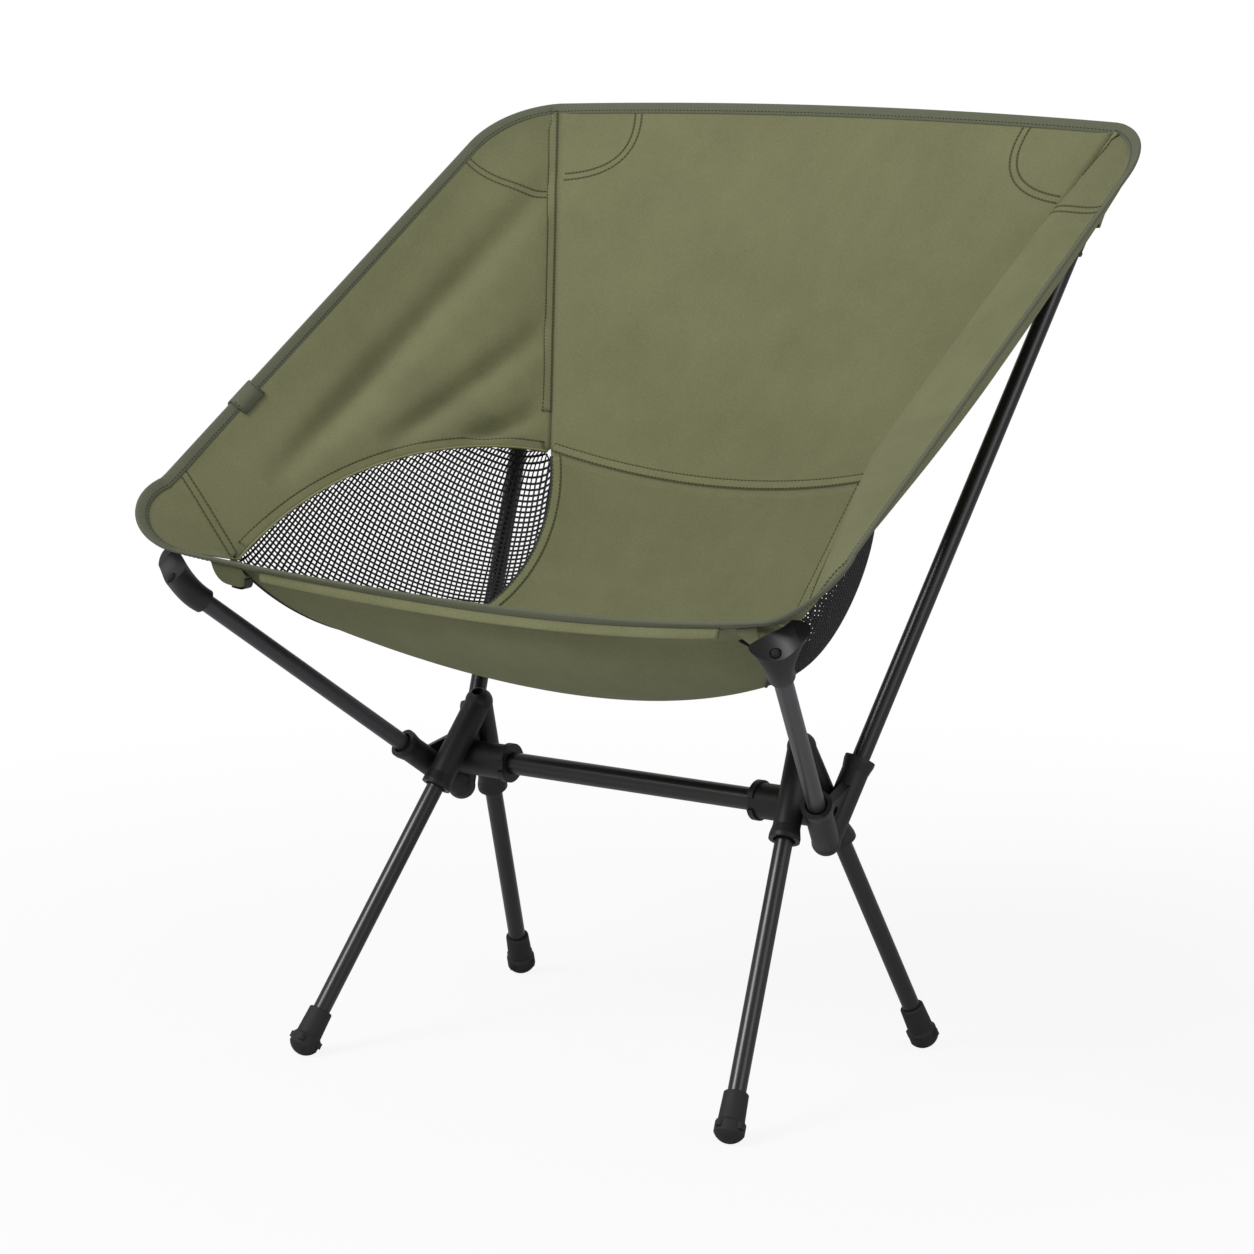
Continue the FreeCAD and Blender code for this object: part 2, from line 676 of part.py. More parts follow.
def strip(frames, outline):
    """A ruled solid whose section is an outline of (inward, up) sizes at each frame."""
    sections = []
    for edge, inward, up in frames:
        corners = [edge + inward * a + up * b for a, b in outline]
        sections.append(Part.makePolygon(corners + corners[:1]))
    return Part.makeLoft(sections, True, True)


def soft(label, shape):
    """A sewn piece, kept as a shape of its own."""
    piece = doc.addObject("Part::Feature", label)
    piece.Shape = shape
    piece.Placement = FreeCAD.Placement()
    return keep(piece, label)


def soft_pair(label, shape):
    soft("right_" + label, shape)
    soft("left_" + label, shape.mirror(V(0, 0, 0), X_AXIS))


HALF_CLOTH = size["cloth_thick"] / 2
SEAM_GAP = size["seam_gap"]


def trimmed_ends(rows):
    """Rows cut short by the seam gap at both ends."""
    shorter = []
    for row in rows:
        width = sum(arc.length() for arc in row.arcs)
        share = SEAM_GAP / width
        shorter.append(row.part(share, 1 - share))
    return shorter


# Back panel: from the top edge down to the seam above the seat.
BACK_SHARES = [0, 0.15, 0.4, 0.7, 1]
back_lines = []
for share in BACK_SHARES:
    side = mix(TOP_END, STITCH, share)
    centre = mix(TOP_MID, STITCH_MID, share)
    back_lines.append([flip(side), centre, side])
back_rows = with_normals(back_lines)
back_length = (STITCH_MID - TOP_MID).Length
last_cut = 1 - SEAM_GAP / (back_length * (BACK_SHARES[-1] - BACK_SHARES[-2]))
back_panel_rows = trimmed_ends(back_rows[:-1] + [row_between(back_rows[-2], back_rows[-1], last_cut)])
soft("back_panel", cloth(back_panel_rows, -HALF_CLOTH, HALF_CLOTH))

# Seat panel: from that seam through the sag to the front edge.
SEAT_ROWS = 10
SEAT_TIP_SHARE = 0.93
seat_lines = []
for index in range(SEAT_ROWS + 1):
    share = index / SEAT_ROWS
    side = on_arc(LOWER_RIM, share)
    seat_lines.append([flip(side), seat_line(share * SEAT_TIP_SHARE), side])
seat_lines.append([flip(FRONT_END), FRONT_MID, FRONT_END])
seat_rows = with_normals(seat_lines)
first_cut = SEAM_GAP / (seat_lines[1][1] - seat_lines[0][1]).Length
seat_panel_rows = trimmed_ends([row_between(seat_rows[0], seat_rows[1], first_cut)] + seat_rows[1:])
soft("seat_panel", cloth(seat_panel_rows, -HALF_CLOTH, HALF_CLOTH))

# Wings: from the back seam and the window's upper rim out to the side edge.
# Each pair is a share along the inner boundary's piece and along the outline's piece.
WING_ROWS = [
    ("seam", 0.05, "rear", 0.35),
    ("seam", 0.12, "rear", 0.65),
    ("seam", 0.25, "rear", 1.0),
    ("seam", 0.5, "side", 0.18),
    ("seam", 0.75, "side", 0.34),
    ("seam", 0.97, "side", 0.48),
    ("rim", 0.12, "side", 0.56),
    ("rim", 0.27, "side", 0.65),
    ("rim", 0.42, "side", 0.74),
    ("rim", 0.57, "side", 0.82),
    ("rim", 0.72, "side", 0.9),
    ("rim", 0.86, "side", 0.97),
    ("rim", 0.95, "front", 0.15),
    ("tip", 0, "front", 0.4),
    ("tip", 0, "front", 0.62),
    ("tip", 0, "front", 0.82),
    ("tip", 0, "front", 0.99),
]
FOLD_ROWS = 12
TIP_CLEAR = 4.0


def inner_point(kind, share, outer_point):
    if kind == "seam":
        return mix(TOP_END, STITCH, share)
    if kind == "rim":
        return on_arc(UPPER_RIM, share)
    return WINDOW_TIP + unit(outer_point - WINDOW_TIP) * TIP_CLEAR


def outline_point(kind, share):
    if kind == "rear":
        return on_arc(REAR_CORNER, share)
    if kind == "side":
        return mix(SIDE_REAR, SIDE_FRONT, share)
    return on_arc(FRONT_CORNER, share)


wing_chords = []
for inner_kind, inner_share, outer_kind, outer_share in WING_ROWS:
    edge = outline_point(outer_kind, outer_share)
    start = inner_point(inner_kind, inner_share, edge)
    start = start + unit(edge - start) * SEAM_GAP
    wing_chords.append([start, (start + edge) * 0.5, edge])

wing_lines = []
for index, (start, centre, edge) in enumerate(wing_chords):
    before = wing_chords[max(index - 1, 0)]
    after = wing_chords[min(index + 1, len(wing_chords) - 1)]
    run = (after[0] - before[0]) + (after[2] - before[2])
    normal = unit(run.cross(edge - start))
    if normal.dot(SITTER - centre) < 0:
        normal = normal * -1
    wave = size["fold_depth"] * math.sin(math.pi * min(index / FOLD_ROWS, 1)) + 0.4
    wing_lines.append([
        start,
        mix(start, edge, 0.25) + normal * wave * 0.7,
        mix(start, edge, 0.5) + normal * wave * 0.1,
        mix(start, edge, 0.75) - normal * wave * 0.7,
        edge,
    ])
wing_rows = with_normals(wing_lines)
soft_pair("wing", cloth(wing_rows, -HALF_CLOTH, HALF_CLOTH))

# Window net: it bellies out between the two rims and has slanting gaps cut through it.
NET_ROWS = 8
NET_REACH = 0.97
STEEPEST = 0.65
outward = window_out if window_out.x > 0 else window_out * -1
rim_inset = SEAM_GAP + GAP * 2.5
half_run = half_chord - rim_inset * 2


def rim_height(sagitta, reach):
    """Height over the chord of an arc of that sagitta, at a reach from its middle."""
    radius = (half_run ** 2 + sagitta ** 2) / (2 * sagitta)
    return math.sqrt(radius ** 2 - reach ** 2) - (radius - sagitta)


net_rows = []
for index in range(NET_ROWS + 1):
    share = -math.cos(math.pi * index / NET_ROWS) * NET_REACH
    rise = rim_height(size["window_rise"] - rim_inset, share * half_run)
    drop = rim_height(size["window_drop"] - rim_inset, share * half_run)
    belly = min(size["net_bulge"] * math.sqrt(1 - share ** 2), STEEPEST * (rise + drop) / 2)
    top = window_point(half_chord + share * half_run, -rise)
    low = window_point(half_chord + share * half_run, drop)
    points = [top, (top + low) * 0.5 + outward * belly, low]
    centre = Part.Arc(*points).toShape().Curve.Center
    net_rows.append(Row(points, outward, [unit(p - centre) for p in points]))
net_sheet = cloth(net_rows, -size["net_thick"] / 2, size["net_thick"] / 2)

pitch = size["net_pitch"]
gap_reach = (pitch - size["net_bar"]) / math.sqrt(2)


def inside_net(along_chord, down):
    """Whether a gap there keeps a thread's width clear of the rims."""
    reach = abs(along_chord - half_chord) + gap_reach + size["net_bar"]
    if reach > half_run * NET_REACH:
        return False
    rise = rim_height(size["window_rise"] - rim_inset, reach)
    drop = rim_height(size["window_drop"] - rim_inset, reach)
    return size["net_bar"] / 2 - rise < down < drop - size["net_bar"] / 2


gaps = []
steps = int(chord.Length / pitch) + 2
for i in range(-steps, steps * 2):
    for j in range(-steps, steps * 2):
        a = (i - j) * pitch / math.sqrt(2)
        b = (i + j) * pitch / math.sqrt(2)
        if 0 < a < chord.Length and inside_net(a, b):
            tips = [window_point(a + gap_reach, b), window_point(a, b + gap_reach),
                    window_point(a - gap_reach, b), window_point(a, b - gap_reach)]
            gap = Part.Face(Part.makePolygon(tips + tips[:1]))
            gap.translate(outward * -5)
            gaps.append(gap.extrude(outward * (size["net_bulge"] + 10)))
print("gaps in each net:", len(gaps))
net = net_sheet.cut(Part.makeCompound(gaps))
soft_pair("window_net", net)

# Binding: a folded tape round the whole edge, open towards the cloth.
GRIP_DEPTH = 6.0


def edge_frames():
    """Frames along the right half: the cloth's edge, the way inward and the way up."""
    frames = []
    steps = 8
    for index in range(steps + 1):
        share = 0.5 + 0.498 * index / steps
        edge = back_rows[0].at(share)
        frames.append((edge, unit(back_rows[1].at(share) - edge), back_rows[0].normal))
    first_wing = wing_rows[0]
    wing_in = unit(first_wing.at(0.9) - first_wing.points[-1])
    for turn in (0.12, 0.23):
        edge = on_arc(REAR_CORNER, turn)
        blend = turn / WING_ROWS[0][3]
        frames.append((edge, unit(mix(frames[steps][1], wing_in, blend)),
                       unit(mix(frames[steps][2], first_wing.normal, blend))))
    for row in wing_rows:
        edge = row.points[-1]
        reach = GRIP_DEPTH / sum(arc.length() for arc in row.arcs)
        frames.append((edge, unit(row.at(1 - reach) - edge), row.normal))
    steps = 14
    for index in range(steps + 1):
        share = 0.992 - 0.492 * index / steps
        edge = seat_rows[-1].at(share)
        frames.append((edge, unit(seat_rows[-2].at(share) - edge), seat_rows[-1].normal))
    squared = []
    for index, (edge, inward, up) in enumerate(frames):
        if index in (0, len(frames) - 1):
            inward = unit(V(0, inward.y, inward.z))
            up = V(0, up.y, up.z)
        squared.append((edge, inward, unit(up - inward * up.dot(inward))))
    return squared


FRAMES = edge_frames()
lap = -size["binding_lap"]
deep = size["binding_wide"] - size["binding_lap"]
outer_half = size["binding_thick"] / 2
inner_half = outer_half - size["binding_wall"]
slot_end = lap + size["binding_wall"]
binding_outline = [
    (lap, -outer_half), (deep, -outer_half), (deep, -inner_half), (slot_end, -inner_half),
    (slot_end, inner_half), (deep, inner_half), (deep, outer_half), (lap, outer_half),
]
binding_half = strip(FRAMES, binding_outline)
binding = binding_half.fuse(binding_half.mirror(V(0, 0, 0), X_AXIS))
soft("edge_binding", binding)

# Loop tag: a short folded tape over the binding, on the left side edge only.
WING_FIRST_FRAME = 11


def side_frame(share):
    """A frame on the straight side edge, on the same ruled surface as the binding."""
    for index, (ik, ins, kind, outs) in enumerate(WING_ROWS[:-1]):
        start_share = 0.0 if kind == "rear" else outs
        next_kind, next_share = WING_ROWS[index + 1][2:]
        if kind == "rear" and outs < 1.0:
            continue
        if next_kind == "side" and start_share <= share <= next_share:
            part = (share - start_share) / (next_share - start_share)
            a = FRAMES[WING_FIRST_FRAME + index]
            b = FRAMES[WING_FIRST_FRAME + index + 1]
            return tuple(mix(p, q, part) for p, q in zip(a, b))
    raise ValueError(share)


side_length = (SIDE_FRONT - SIDE_REAR).Length
tag_half = size["tag_length"] / 2 / side_length
TAG_SHARE = 0.762
tag_shares = [TAG_SHARE - tag_half, TAG_SHARE + tag_half]
tag_shares += [row[3] for row in WING_ROWS if row[2] == "side" and tag_shares[0] < row[3] < tag_shares[1]]
tag_shares.sort()
tag_out = outer_half + GAP
tag_high = tag_out + size["tag_thick"]
tag_outline = [
    (lap - GAP - size["tag_thick"], -tag_high), (lap + size["tag_wide"], -tag_high),
    (lap + size["tag_wide"], -tag_out), (lap - GAP, -tag_out),
    (lap - GAP, tag_out), (lap + size["tag_wide"], tag_out),
    (lap + size["tag_wide"], tag_high), (lap - GAP - size["tag_thick"], tag_high),
]
tag = strip([side_frame(share) for share in tag_shares], tag_outline)
soft("loop_tag", tag.mirror(V(0, 0, 0), X_AXIS))

# Seam tapes behind the two seams that join the back panel and the wings.
seam_frames = []
for share in (0.14, 0.4, 0.7, 0.97):
    here = mix(TOP_END, STITCH, share)
    way_down = unit(STITCH - TOP_END)
    facing = unit(back_rows[2].normal + wing_rows[3].normal)
    facing = unit(facing - way_down * facing.dot(way_down))
    seam_frames.append((here, unit(way_down.cross(facing)), facing))
tape_half = size["tape_wide"] / 2
tape_high = -(HALF_CLOTH + GAP + 0.2)
tape_low = tape_high - size["tape_thick"]
tape_outline = [(-tape_half, tape_low), (tape_half, tape_low), (tape_half, tape_high), (-tape_half, tape_high)]
soft_pair("seam_tape", strip(seam_frames, tape_outline))

# Hem: a second layer under the front edge, an equal way in all along it.
GRIP = size["binding_wide"] - size["binding_lap"]
HEM_FIRST = 0.115


def inset_point(distance, share):
    edge = seat_rows[-1].at(share)
    return edge + unit(seat_rows[-2].at(share) - edge) * distance


def underside(share):
    """The cloth's own upward normal near the front edge."""
    along_edge = seat_rows[-1].at(share + 0.01) - seat_rows[-1].at(share - 0.01)
    normal = unit(along_edge.cross(seat_rows[-2].at(share) - seat_rows[-1].at(share)))
    return normal if normal.z > 0 else normal * -1


def inset_row(distance):
    shares = [HEM_FIRST + (1 - 2 * HEM_FIRST) * i / 4 for i in range(5)]
    return Row([inset_point(distance, share) for share in shares], Z_AXIS, [underside(share) for share in shares])


hem_rows = [inset_row(GRIP + 1 + size["hem_wide"]), inset_row(GRIP + 1)]
hem_high = -HALF_CLOTH - GAP * 2
soft("front_hem", cloth(hem_rows, hem_high - size["cloth_thick"], hem_high))

# Rear pockets: cloth on the back of each rear corner that wraps the end of the back pole.
# Each line across: share down the seam, where it starts on the back panel, wing row and
# share along it, place past the pole's end, and how much of the slack it has there.
POCKET_LINES = [
    (0.24, 0.9, 2, 0.4, -46, 1.0),
    (0.15, 0.86, 1, 0.55, -24, 1.0),
    (0.085, 0.83, 0, 0.68, -2, 1.0),
    (0.05, 0.83, 0, 0.74, 13, 0.6),
]
WRAP = math.radians(70)
pole_way = direction_of("back_pole")
behind = unit(pole_way.cross(X_AXIS))
if behind.y < 0:
    behind = behind * -1
beside = unit(behind.cross(pole_way))
if beside.x < 0:
    beside = beside * -1
skin = HALF_CLOTH * 2 + GAP
pole_end = place("back_tip")


def round_normals(points):
    """The cloth's normals along a line of arcs, each square to its arc and facing backwards."""
    middle_point = points[len(points) // 2]
    normals = []
    for index, point in enumerate(points):
        first = min(index // 2 * 2, len(points) - 3)
        centre = Part.Arc(*points[first:first + 3]).toShape().Curve.Center
        bulges_back = (middle_point - centre).dot(behind) > 0
        normals.append(unit(point - centre) if bulges_back else unit(centre - point))
    normals[len(points) // 2] = behind
    return normals


def pocket_ends(down_seam, panel_share, wing_index, wing_share):
    """Where a pocket's line is sewn to the back panel and to the wing."""
    back_row = row_between(back_rows[0], back_rows[-1], down_seam)
    inner = back_row.at(panel_share) - back_rows[1].normal * (skin + 0.5)
    wing_row = wing_rows[wing_index]
    outer = wing_row.at(wing_share) - wing_row.normal * (skin + 1)
    return inner, outer


pocket_rows = []
for down_seam, panel_share, wing_index, wing_share, past_end, slack in POCKET_LINES:
    inner, outer = pocket_ends(down_seam, panel_share, wing_index, wing_share)
    reach = size["sleeve_outer"] / 2 + GAP + HALF_CLOTH + size["rear_belly"] * slack
    axis = pole_end + pole_way * past_end
    flank = beside * (math.sin(WRAP) * reach)
    back_off = behind * (math.cos(WRAP) * reach)
    points = [inner, axis + back_off - flank, axis + behind * reach, axis + back_off + flank, outer]
    pocket_rows.append(Row(points, behind, round_normals(points)))
inner, outer = pocket_ends(0.034, 0.84, 0, 0.77)
ridge = mix(TOP_END, STITCH, 0.034) + behind * (skin + 1)
points = [inner, (inner + ridge) * 0.5 + behind, ridge, (outer + ridge) * 0.5 + behind, outer]
pocket_rows.append(Row(points, behind))
soft_pair("rear_pocket", cloth(pocket_rows, -HALF_CLOTH, HALF_CLOTH))

# Front pockets: a puffed layer under each front corner, with tape along its mouth.
POCKET_SHARES = [(0.893, 0.35), (0.916, 0.75), (0.94, 1.0), (0.962, 1.0)]
flap_rows = []
tape_frames = []
for share, full in POCKET_SHARES:
    top = inset_point(GRIP + 1, share) - underside(share) * (skin + 0.4)
    low = top + V(0, size["pocket_back"], -size["pocket_drop"]) * full
    facing = unit(X_AXIS.cross(low - top))
    if facing.z > 0:
        facing = facing * -1
    flap = Row([top, (top + low) * 0.5 + facing * (size["pocket_belly"] * full), low], facing)
    flap_rows.append(flap)
    inward = unit(flap.at(1 - size["tape_wide"] / flap.arcs[0].length()) - low)
    over = facing - inward * facing.dot(inward)
    tape_frames.append((low, inward, unit(over)))
soft_pair("front_pocket", cloth(flap_rows, -HALF_CLOTH, HALF_CLOTH))
tape_low = HALF_CLOTH + GAP * 3
tape_high = tape_low + size["tape_thick"]
mouth_tape = [(-1, tape_low), (size["tape_wide"] - 1, tape_low), (size["tape_wide"] - 1, tape_high), (-1, tape_high)]
soft_pair("pocket_tape", strip(tape_frames, mouth_tape))

# Front caps: a collar on the pole that opens into a saddle under the cloth's corner.
way = direction_of("seat_pole")
cap_start = pole_apex + way * (reach_of("seat_pole") - size["cap_cover"])
level_way = unit(X_AXIS - way * way.dot(X_AXIS))
rise_way = way.cross(level_way)
tilt = math.radians(size["cap_tilt"])
wide_way = level_way * math.cos(tilt) + rise_way * math.sin(tilt)
deep_way = way.cross(wide_way)
cap_body = doc.addObject("PartDesign::Body", "cap_body")
CAP_LEVELS = [
    ("mouth", 0, "Dims.cap_collar / 2", None),
    ("collar", 0.3, "Dims.cap_collar / 2 + 0.4", None),
    ("flare", 0.68, "Dims.cap_wide * 0.34", "Dims.cap_deep * 0.46"),
    ("saddle", 1, "Dims.cap_wide / 2", "Dims.cap_deep / 2"),
]
cap_sketches = []
for word, level, wide_radius, deep_radius in CAP_LEVELS:
    sketch = new_sketch(cap_body, "XY_Plane", "cap_" + word)
    sketch.setExpression("AttachmentOffset.Base.z", "Dims.cap_length * %s" % level)
    if deep_radius is None:
        sketch.addGeometry(Part.Circle(V(0, 0, 0), Z_AXIS, size["cap_collar"] / 2), False)
        sketch.addConstraint(Sketcher.Constraint("Coincident", 0, 3, -1, 1))
        number = sketch.addConstraint(Sketcher.Constraint("Radius", 0, size["cap_collar"] / 2))
        sketch.renameConstraint(number, "radius")
        sketch.setExpression("Constraints.radius", wide_radius)
    else:
        wide = V(size["cap_wide"] * (0.34 if word == "flare" else 0.5), 0, 0)
        deep = V(0, size["cap_deep"] * (0.46 if word == "flare" else 0.5), 0)
        lifted = V(math.sin(tilt), math.cos(tilt), 0) * (size["cap_lift"] * (0.4 if word == "flare" else 1))
        sketch.addGeometry(Part.Ellipse(lifted + wide, lifted + deep, lifted), False)
    cap_sketches.append(sketch)
cap_loft = cap_body.newObject("PartDesign::AdditiveLoft", "cap_loft")
cap_loft.Profile = cap_sketches[0]
cap_loft.Sections = cap_sketches[1:]
cap_loft.Ruled = False
cap_body.Placement = FreeCAD.Placement(cap_start, FreeCAD.Rotation(wide_way, deep_way, way, "ZXY"))
cap_bore = rod("cap_bore", cap_start - way, way, size["cap_cover"] + GAP + 1, "Dims.tube_outer / 2 + Dims.fit_gap")
cap_room = rod("cap_knot_room", cap_start, way, size["cap_cover"] + 9, "Dims.knot_room / 2")
saddle = doc.addObject("Part::Cylinder", "cap_saddle")
saddle.setExpression("Radius", "Dims.saddle_round")
saddle.Height = 60
saddle_centre = cap_start + way * (size["cap_length"] + size["saddle_round"] - 6) - deep_way * 30
saddle.Placement = along(saddle_centre, deep_way)
cap = cut_from("right_front_cap", cap_body, [cap_bore, cap_room, saddle])
keep(cap, "right_front_cap")
mirror_of(cap, "left_front_cap")

doc.recompute()
faults = []
for obj in doc.Objects:
    if "Invalid" in obj.State or "Error" in obj.State:
        faults.append(obj.Name + " " + str(obj.State))
for node in nodes:
    shape = node.Shape
    if shape.isNull() or not shape.isValid():
        faults.append(node.Label + " has no valid shape")
if faults:
    raise RuntimeError("; ".join(faults))
for node in nodes:
    shape = node.Shape
    if len(shape.Solids) != 1:
        print(node.Label, "solids:", len(shape.Solids))
    node.Shape.exportStep("parts/%s.step" % node.Label)
box = None
for node in nodes:
    bounds = node.Shape.BoundBox
    if box is None:
        box = FreeCAD.BoundBox(bounds)
    else:
        box.add(bounds)
print("nodes:", len(nodes))
print("box: %.1f..%.1f  %.1f..%.1f  %.1f..%.1f" % (box.XMin, box.XMax, box.YMin, box.YMax, box.ZMin, box.ZMax))
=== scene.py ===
# %% [markdown]
# # A low folding camp chair
# The real chair is a cloth sling hung from the tips of four poles. Its hard parts, which are the hubs, tubes,
# feet, caps and sleeves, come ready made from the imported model, and only need a better finish. The sling is
# cloth, so it is cut and sewn again here, in the places where the solid model has its stiff stand-ins.

# %% Load the chair's solid parts
import json
import math

import bmesh
import bpy
from mathutils import Matrix, Vector


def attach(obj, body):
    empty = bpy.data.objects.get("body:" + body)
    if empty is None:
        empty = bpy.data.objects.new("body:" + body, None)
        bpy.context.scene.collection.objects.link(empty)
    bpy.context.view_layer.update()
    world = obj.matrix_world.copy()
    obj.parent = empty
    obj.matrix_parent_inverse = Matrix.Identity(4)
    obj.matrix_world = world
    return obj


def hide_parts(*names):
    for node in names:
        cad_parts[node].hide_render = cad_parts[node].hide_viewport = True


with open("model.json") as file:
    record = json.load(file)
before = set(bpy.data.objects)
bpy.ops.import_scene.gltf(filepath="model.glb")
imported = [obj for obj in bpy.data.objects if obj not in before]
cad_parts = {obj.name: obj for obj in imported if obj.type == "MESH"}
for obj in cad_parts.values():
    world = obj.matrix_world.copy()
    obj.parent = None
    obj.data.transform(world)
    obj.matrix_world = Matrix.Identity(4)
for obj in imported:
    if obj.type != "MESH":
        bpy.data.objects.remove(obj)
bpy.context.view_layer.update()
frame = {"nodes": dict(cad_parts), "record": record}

# %% [markdown]
# ## Camera
# The photograph was taken from a little to the chair's left front, from far away with a long lens. The angles
# and the distance were solved from the frame's straight poles, so the same lens gives the same perspective.

# %% Camera
AZIMUTH = math.radians(33.87)
ELEVATION = math.radians(10.62)
DISTANCE = 2.7787
AIM = Vector((-0.00442, -0.0301, 0.31265))
backward = Vector((
    math.sin(AZIMUTH) * math.cos(ELEVATION),
    -math.cos(AZIMUTH) * math.cos(ELEVATION),
    math.sin(ELEVATION),
))
camera_turn = backward.to_track_quat("Z", "Y").to_matrix().to_4x4()
lens = bpy.data.cameras.new("camera")
lens.sensor_width = 36
lens.lens = 110.27
lens.clip_end = 50
camera = bpy.data.objects.new("camera", lens)
camera.matrix_world = Matrix.Translation(AIM + backward * DISTANCE) @ camera_turn
bpy.context.scene.collection.objects.link(camera)
bpy.context.scene.camera = camera
print("camera at", [round(n, 3) for n in camera.location])

# %% [markdown]
# ## A small language for finishes
# A finish in Blender is a net of nodes. Clicking them together is clear for a few, but a weave needs a dozen.
# So each socket is wrapped in a small class, and a sum or product of two wires adds the Math node for it.
# Numbers that are the same all over are set on the shader itself.


# %% Wires and finishes
class Wire:
    """A socket that can be added, subtracted and multiplied."""

    def __init__(self, finish, socket):
        self.finish = finish
        self.socket = socket

    def __add__(self, other):
        return self.finish.maths("ADD", self, other)

    def __radd__(self, other):
        return self.finish.maths("ADD", other, self)

    def __sub__(self, other):
        return self.finish.maths("SUBTRACT", self, other)

    def __mul__(self, other):
        return self.finish.maths("MULTIPLY", self, other)


class Finish:
    """One material. Its shader's own sockets take the numbers given by name."""

    def __init__(self, name, constants):
        self.material = bpy.data.materials.new(name)
        self.material.use_nodes = True
        self.tree = self.material.node_tree
        self.tree.nodes.clear()
        self.shader = self.tree.nodes.new("ShaderNodeBsdfPrincipled")
        self.show(constants)
        output = self.tree.nodes.new("ShaderNodeOutputMaterial")
        self.tree.links.new(self.shader.outputs["BSDF"], output.inputs["Surface"])

    def feed(self, socket, value):
        if isinstance(value, Wire):
            self.tree.links.new(value.socket, socket)
        elif isinstance(value, tuple) and len(value) == 3 and socket.type == "RGBA":
            socket.default_value = value + (1,)
        else:
            socket.default_value = value

    def node(self, kind, settings, sockets, out=0):
        made = self.tree.nodes.new("ShaderNode" + kind)
        for word, value in settings.items():
            setattr(made, word, value)
        for word, value in sockets.items():
            self.feed(made.inputs[word], value)
        return Wire(self, made.outputs[out])

    def maths(self, operation, *values):
        return self.node("Math", {"operation": operation}, dict(enumerate(values)))

    def between(self, low, high, share):
        """A colour between two colours."""
        return self.node("Mix", {"data_type": "RGBA"}, {0: share, 6: low, 7: high}, out=2)

    def noise(self, place, scale, detail=3):
        return self.node("TexNoise", {}, {"Vector": place, "Scale": scale, "Detail": detail})

    def in_space(self):
        return self.node("TexCoord", {}, {}, out="Object")

    def on_cut(self):
        """Metres across and along the flat piece, from the piece's own UV map."""
        cut = self.node("UVMap", {"uv_map": "cut"}, {})
        across = self.node("SeparateXYZ", {}, {"Vector": cut}, out="X")
        along = self.node("SeparateXYZ", {}, {"Vector": cut}, out="Y")
        return across, along

    def wave(self, metres, pitch):
        """A wave from -1 to 1 along a distance."""
        return self.maths("SINE", metres * (math.tau / pitch))

    def show(self, sockets):
        for word, value in sockets.items():
            self.feed(self.shader.inputs[word], value)

    def bump(self, height, depth, strength=1.0):
        made = self.node("Bump", {}, {"Height": height, "Distance": depth, "Strength": strength})
        self.show({"Normal": made})


def paint(red, green, blue):
    """A colour in the 0 to 255 numbers of an image editor, as the light that a shader wants."""
    shares = [number / 255 for number in (red, green, blue)]
    return tuple(((share + 0.055) / 1.055) ** 2.4 if share > 0.0395 else share / 12.92 for share in shares)


print("olive as light:", [round(n, 3) for n in paint(112, 113, 80)])

# %% [markdown]
# ## Cloth, tape and thread
# The sling is a plain-woven polyester, matt, with a faint slub in both directions. A picture of cloth would
# be the usual way, but waves along the cut's own metres make a weave that keeps its scale on every piece. The
# binding is grosgrain, whose ribs run across the tape. The net is knitted from black yarn, and the thread is
# a darker green than the cloth.


# %% Soft finishes
def woven(name, dark, light, pitch, roughness, slub):
    finish = Finish(name, {"Roughness": roughness, "Specular IOR Level": 0.25, "Sheen Weight": 0.06})
    across, along = finish.on_cut()
    weave = finish.wave(across, pitch) * finish.wave(along, pitch)
    place = finish.in_space()
    patches = finish.noise(place, 14, 4)
    grain = finish.noise(place, 700, 3)
    creases = finish.noise(place, 55, 3)
    # The crease noise also feeds the colour, lighter where its bump rises and darker where it sinks: painted
    # shade in the crinkles.
    share = 0.5 + (patches - 0.5) * 0.5 + (grain - 0.5) * slub + (creases - 0.5) * 0.3 + weave * 0.06
    finish.show({"Base Color": finish.between(dark, light, share)})
    finish.bump(weave * 0.3 + grain * 0.6 + creases * 1.6, 0.0004, 0.7)
    return finish


def ribbed(name, dark, light, pitch, roughness):
    finish = Finish(name, {"Roughness": roughness, "Specular IOR Level": 0.3, "Sheen Weight": 0.05})
    across, along = finish.on_cut()
    ribs = finish.wave(along, pitch)
    grain = finish.noise(finish.in_space(), 900, 2)
    share = 0.5 + ribs * 0.22 + (grain - 0.5) * 0.6
    finish.show({"Base Color": finish.between(dark, light, share)})
    finish.bump(ribs * 0.5 + grain * 0.5, 0.0002, 0.8)
    return finish


def yarn(name, dark, light, roughness):
    finish = Finish(name, {"Roughness": roughness, "Specular IOR Level": 0.3})
    grain = finish.noise(finish.in_space(), 1800, 2)
    finish.show({"Base Color": finish.between(dark, light, grain)})
    finish.bump(grain, 0.0002, 0.6)
    return finish


olive_cloth = woven("olive_cloth", paint(97, 99, 68), paint(124, 125, 91), 0.0008, 0.86, 0.9)
edge_tape = ribbed("edge_tape", paint(72, 75, 58), paint(104, 107, 87), 0.0010, 0.85)
black_tape = ribbed("black_tape", paint(22, 22, 22), paint(48, 48, 47), 0.0012, 0.75)
net_yarn = yarn("net_yarn", paint(10, 10, 12), paint(24, 24, 28), 0.7)
olive_thread = yarn("olive_thread", paint(40, 40, 26), paint(58, 59, 40), 0.85)
# A darker olive for the painted shade along each row of stitches.
seam_shade = yarn("seam_shade", paint(80, 81, 55), paint(98, 99, 69), 0.9)
# A lighter olive than the cloth: a painted highlight along the folded edge of the window hem.
highlit_piping = yarn("highlit_piping", paint(120, 119, 84), paint(140, 138, 100), 0.8)
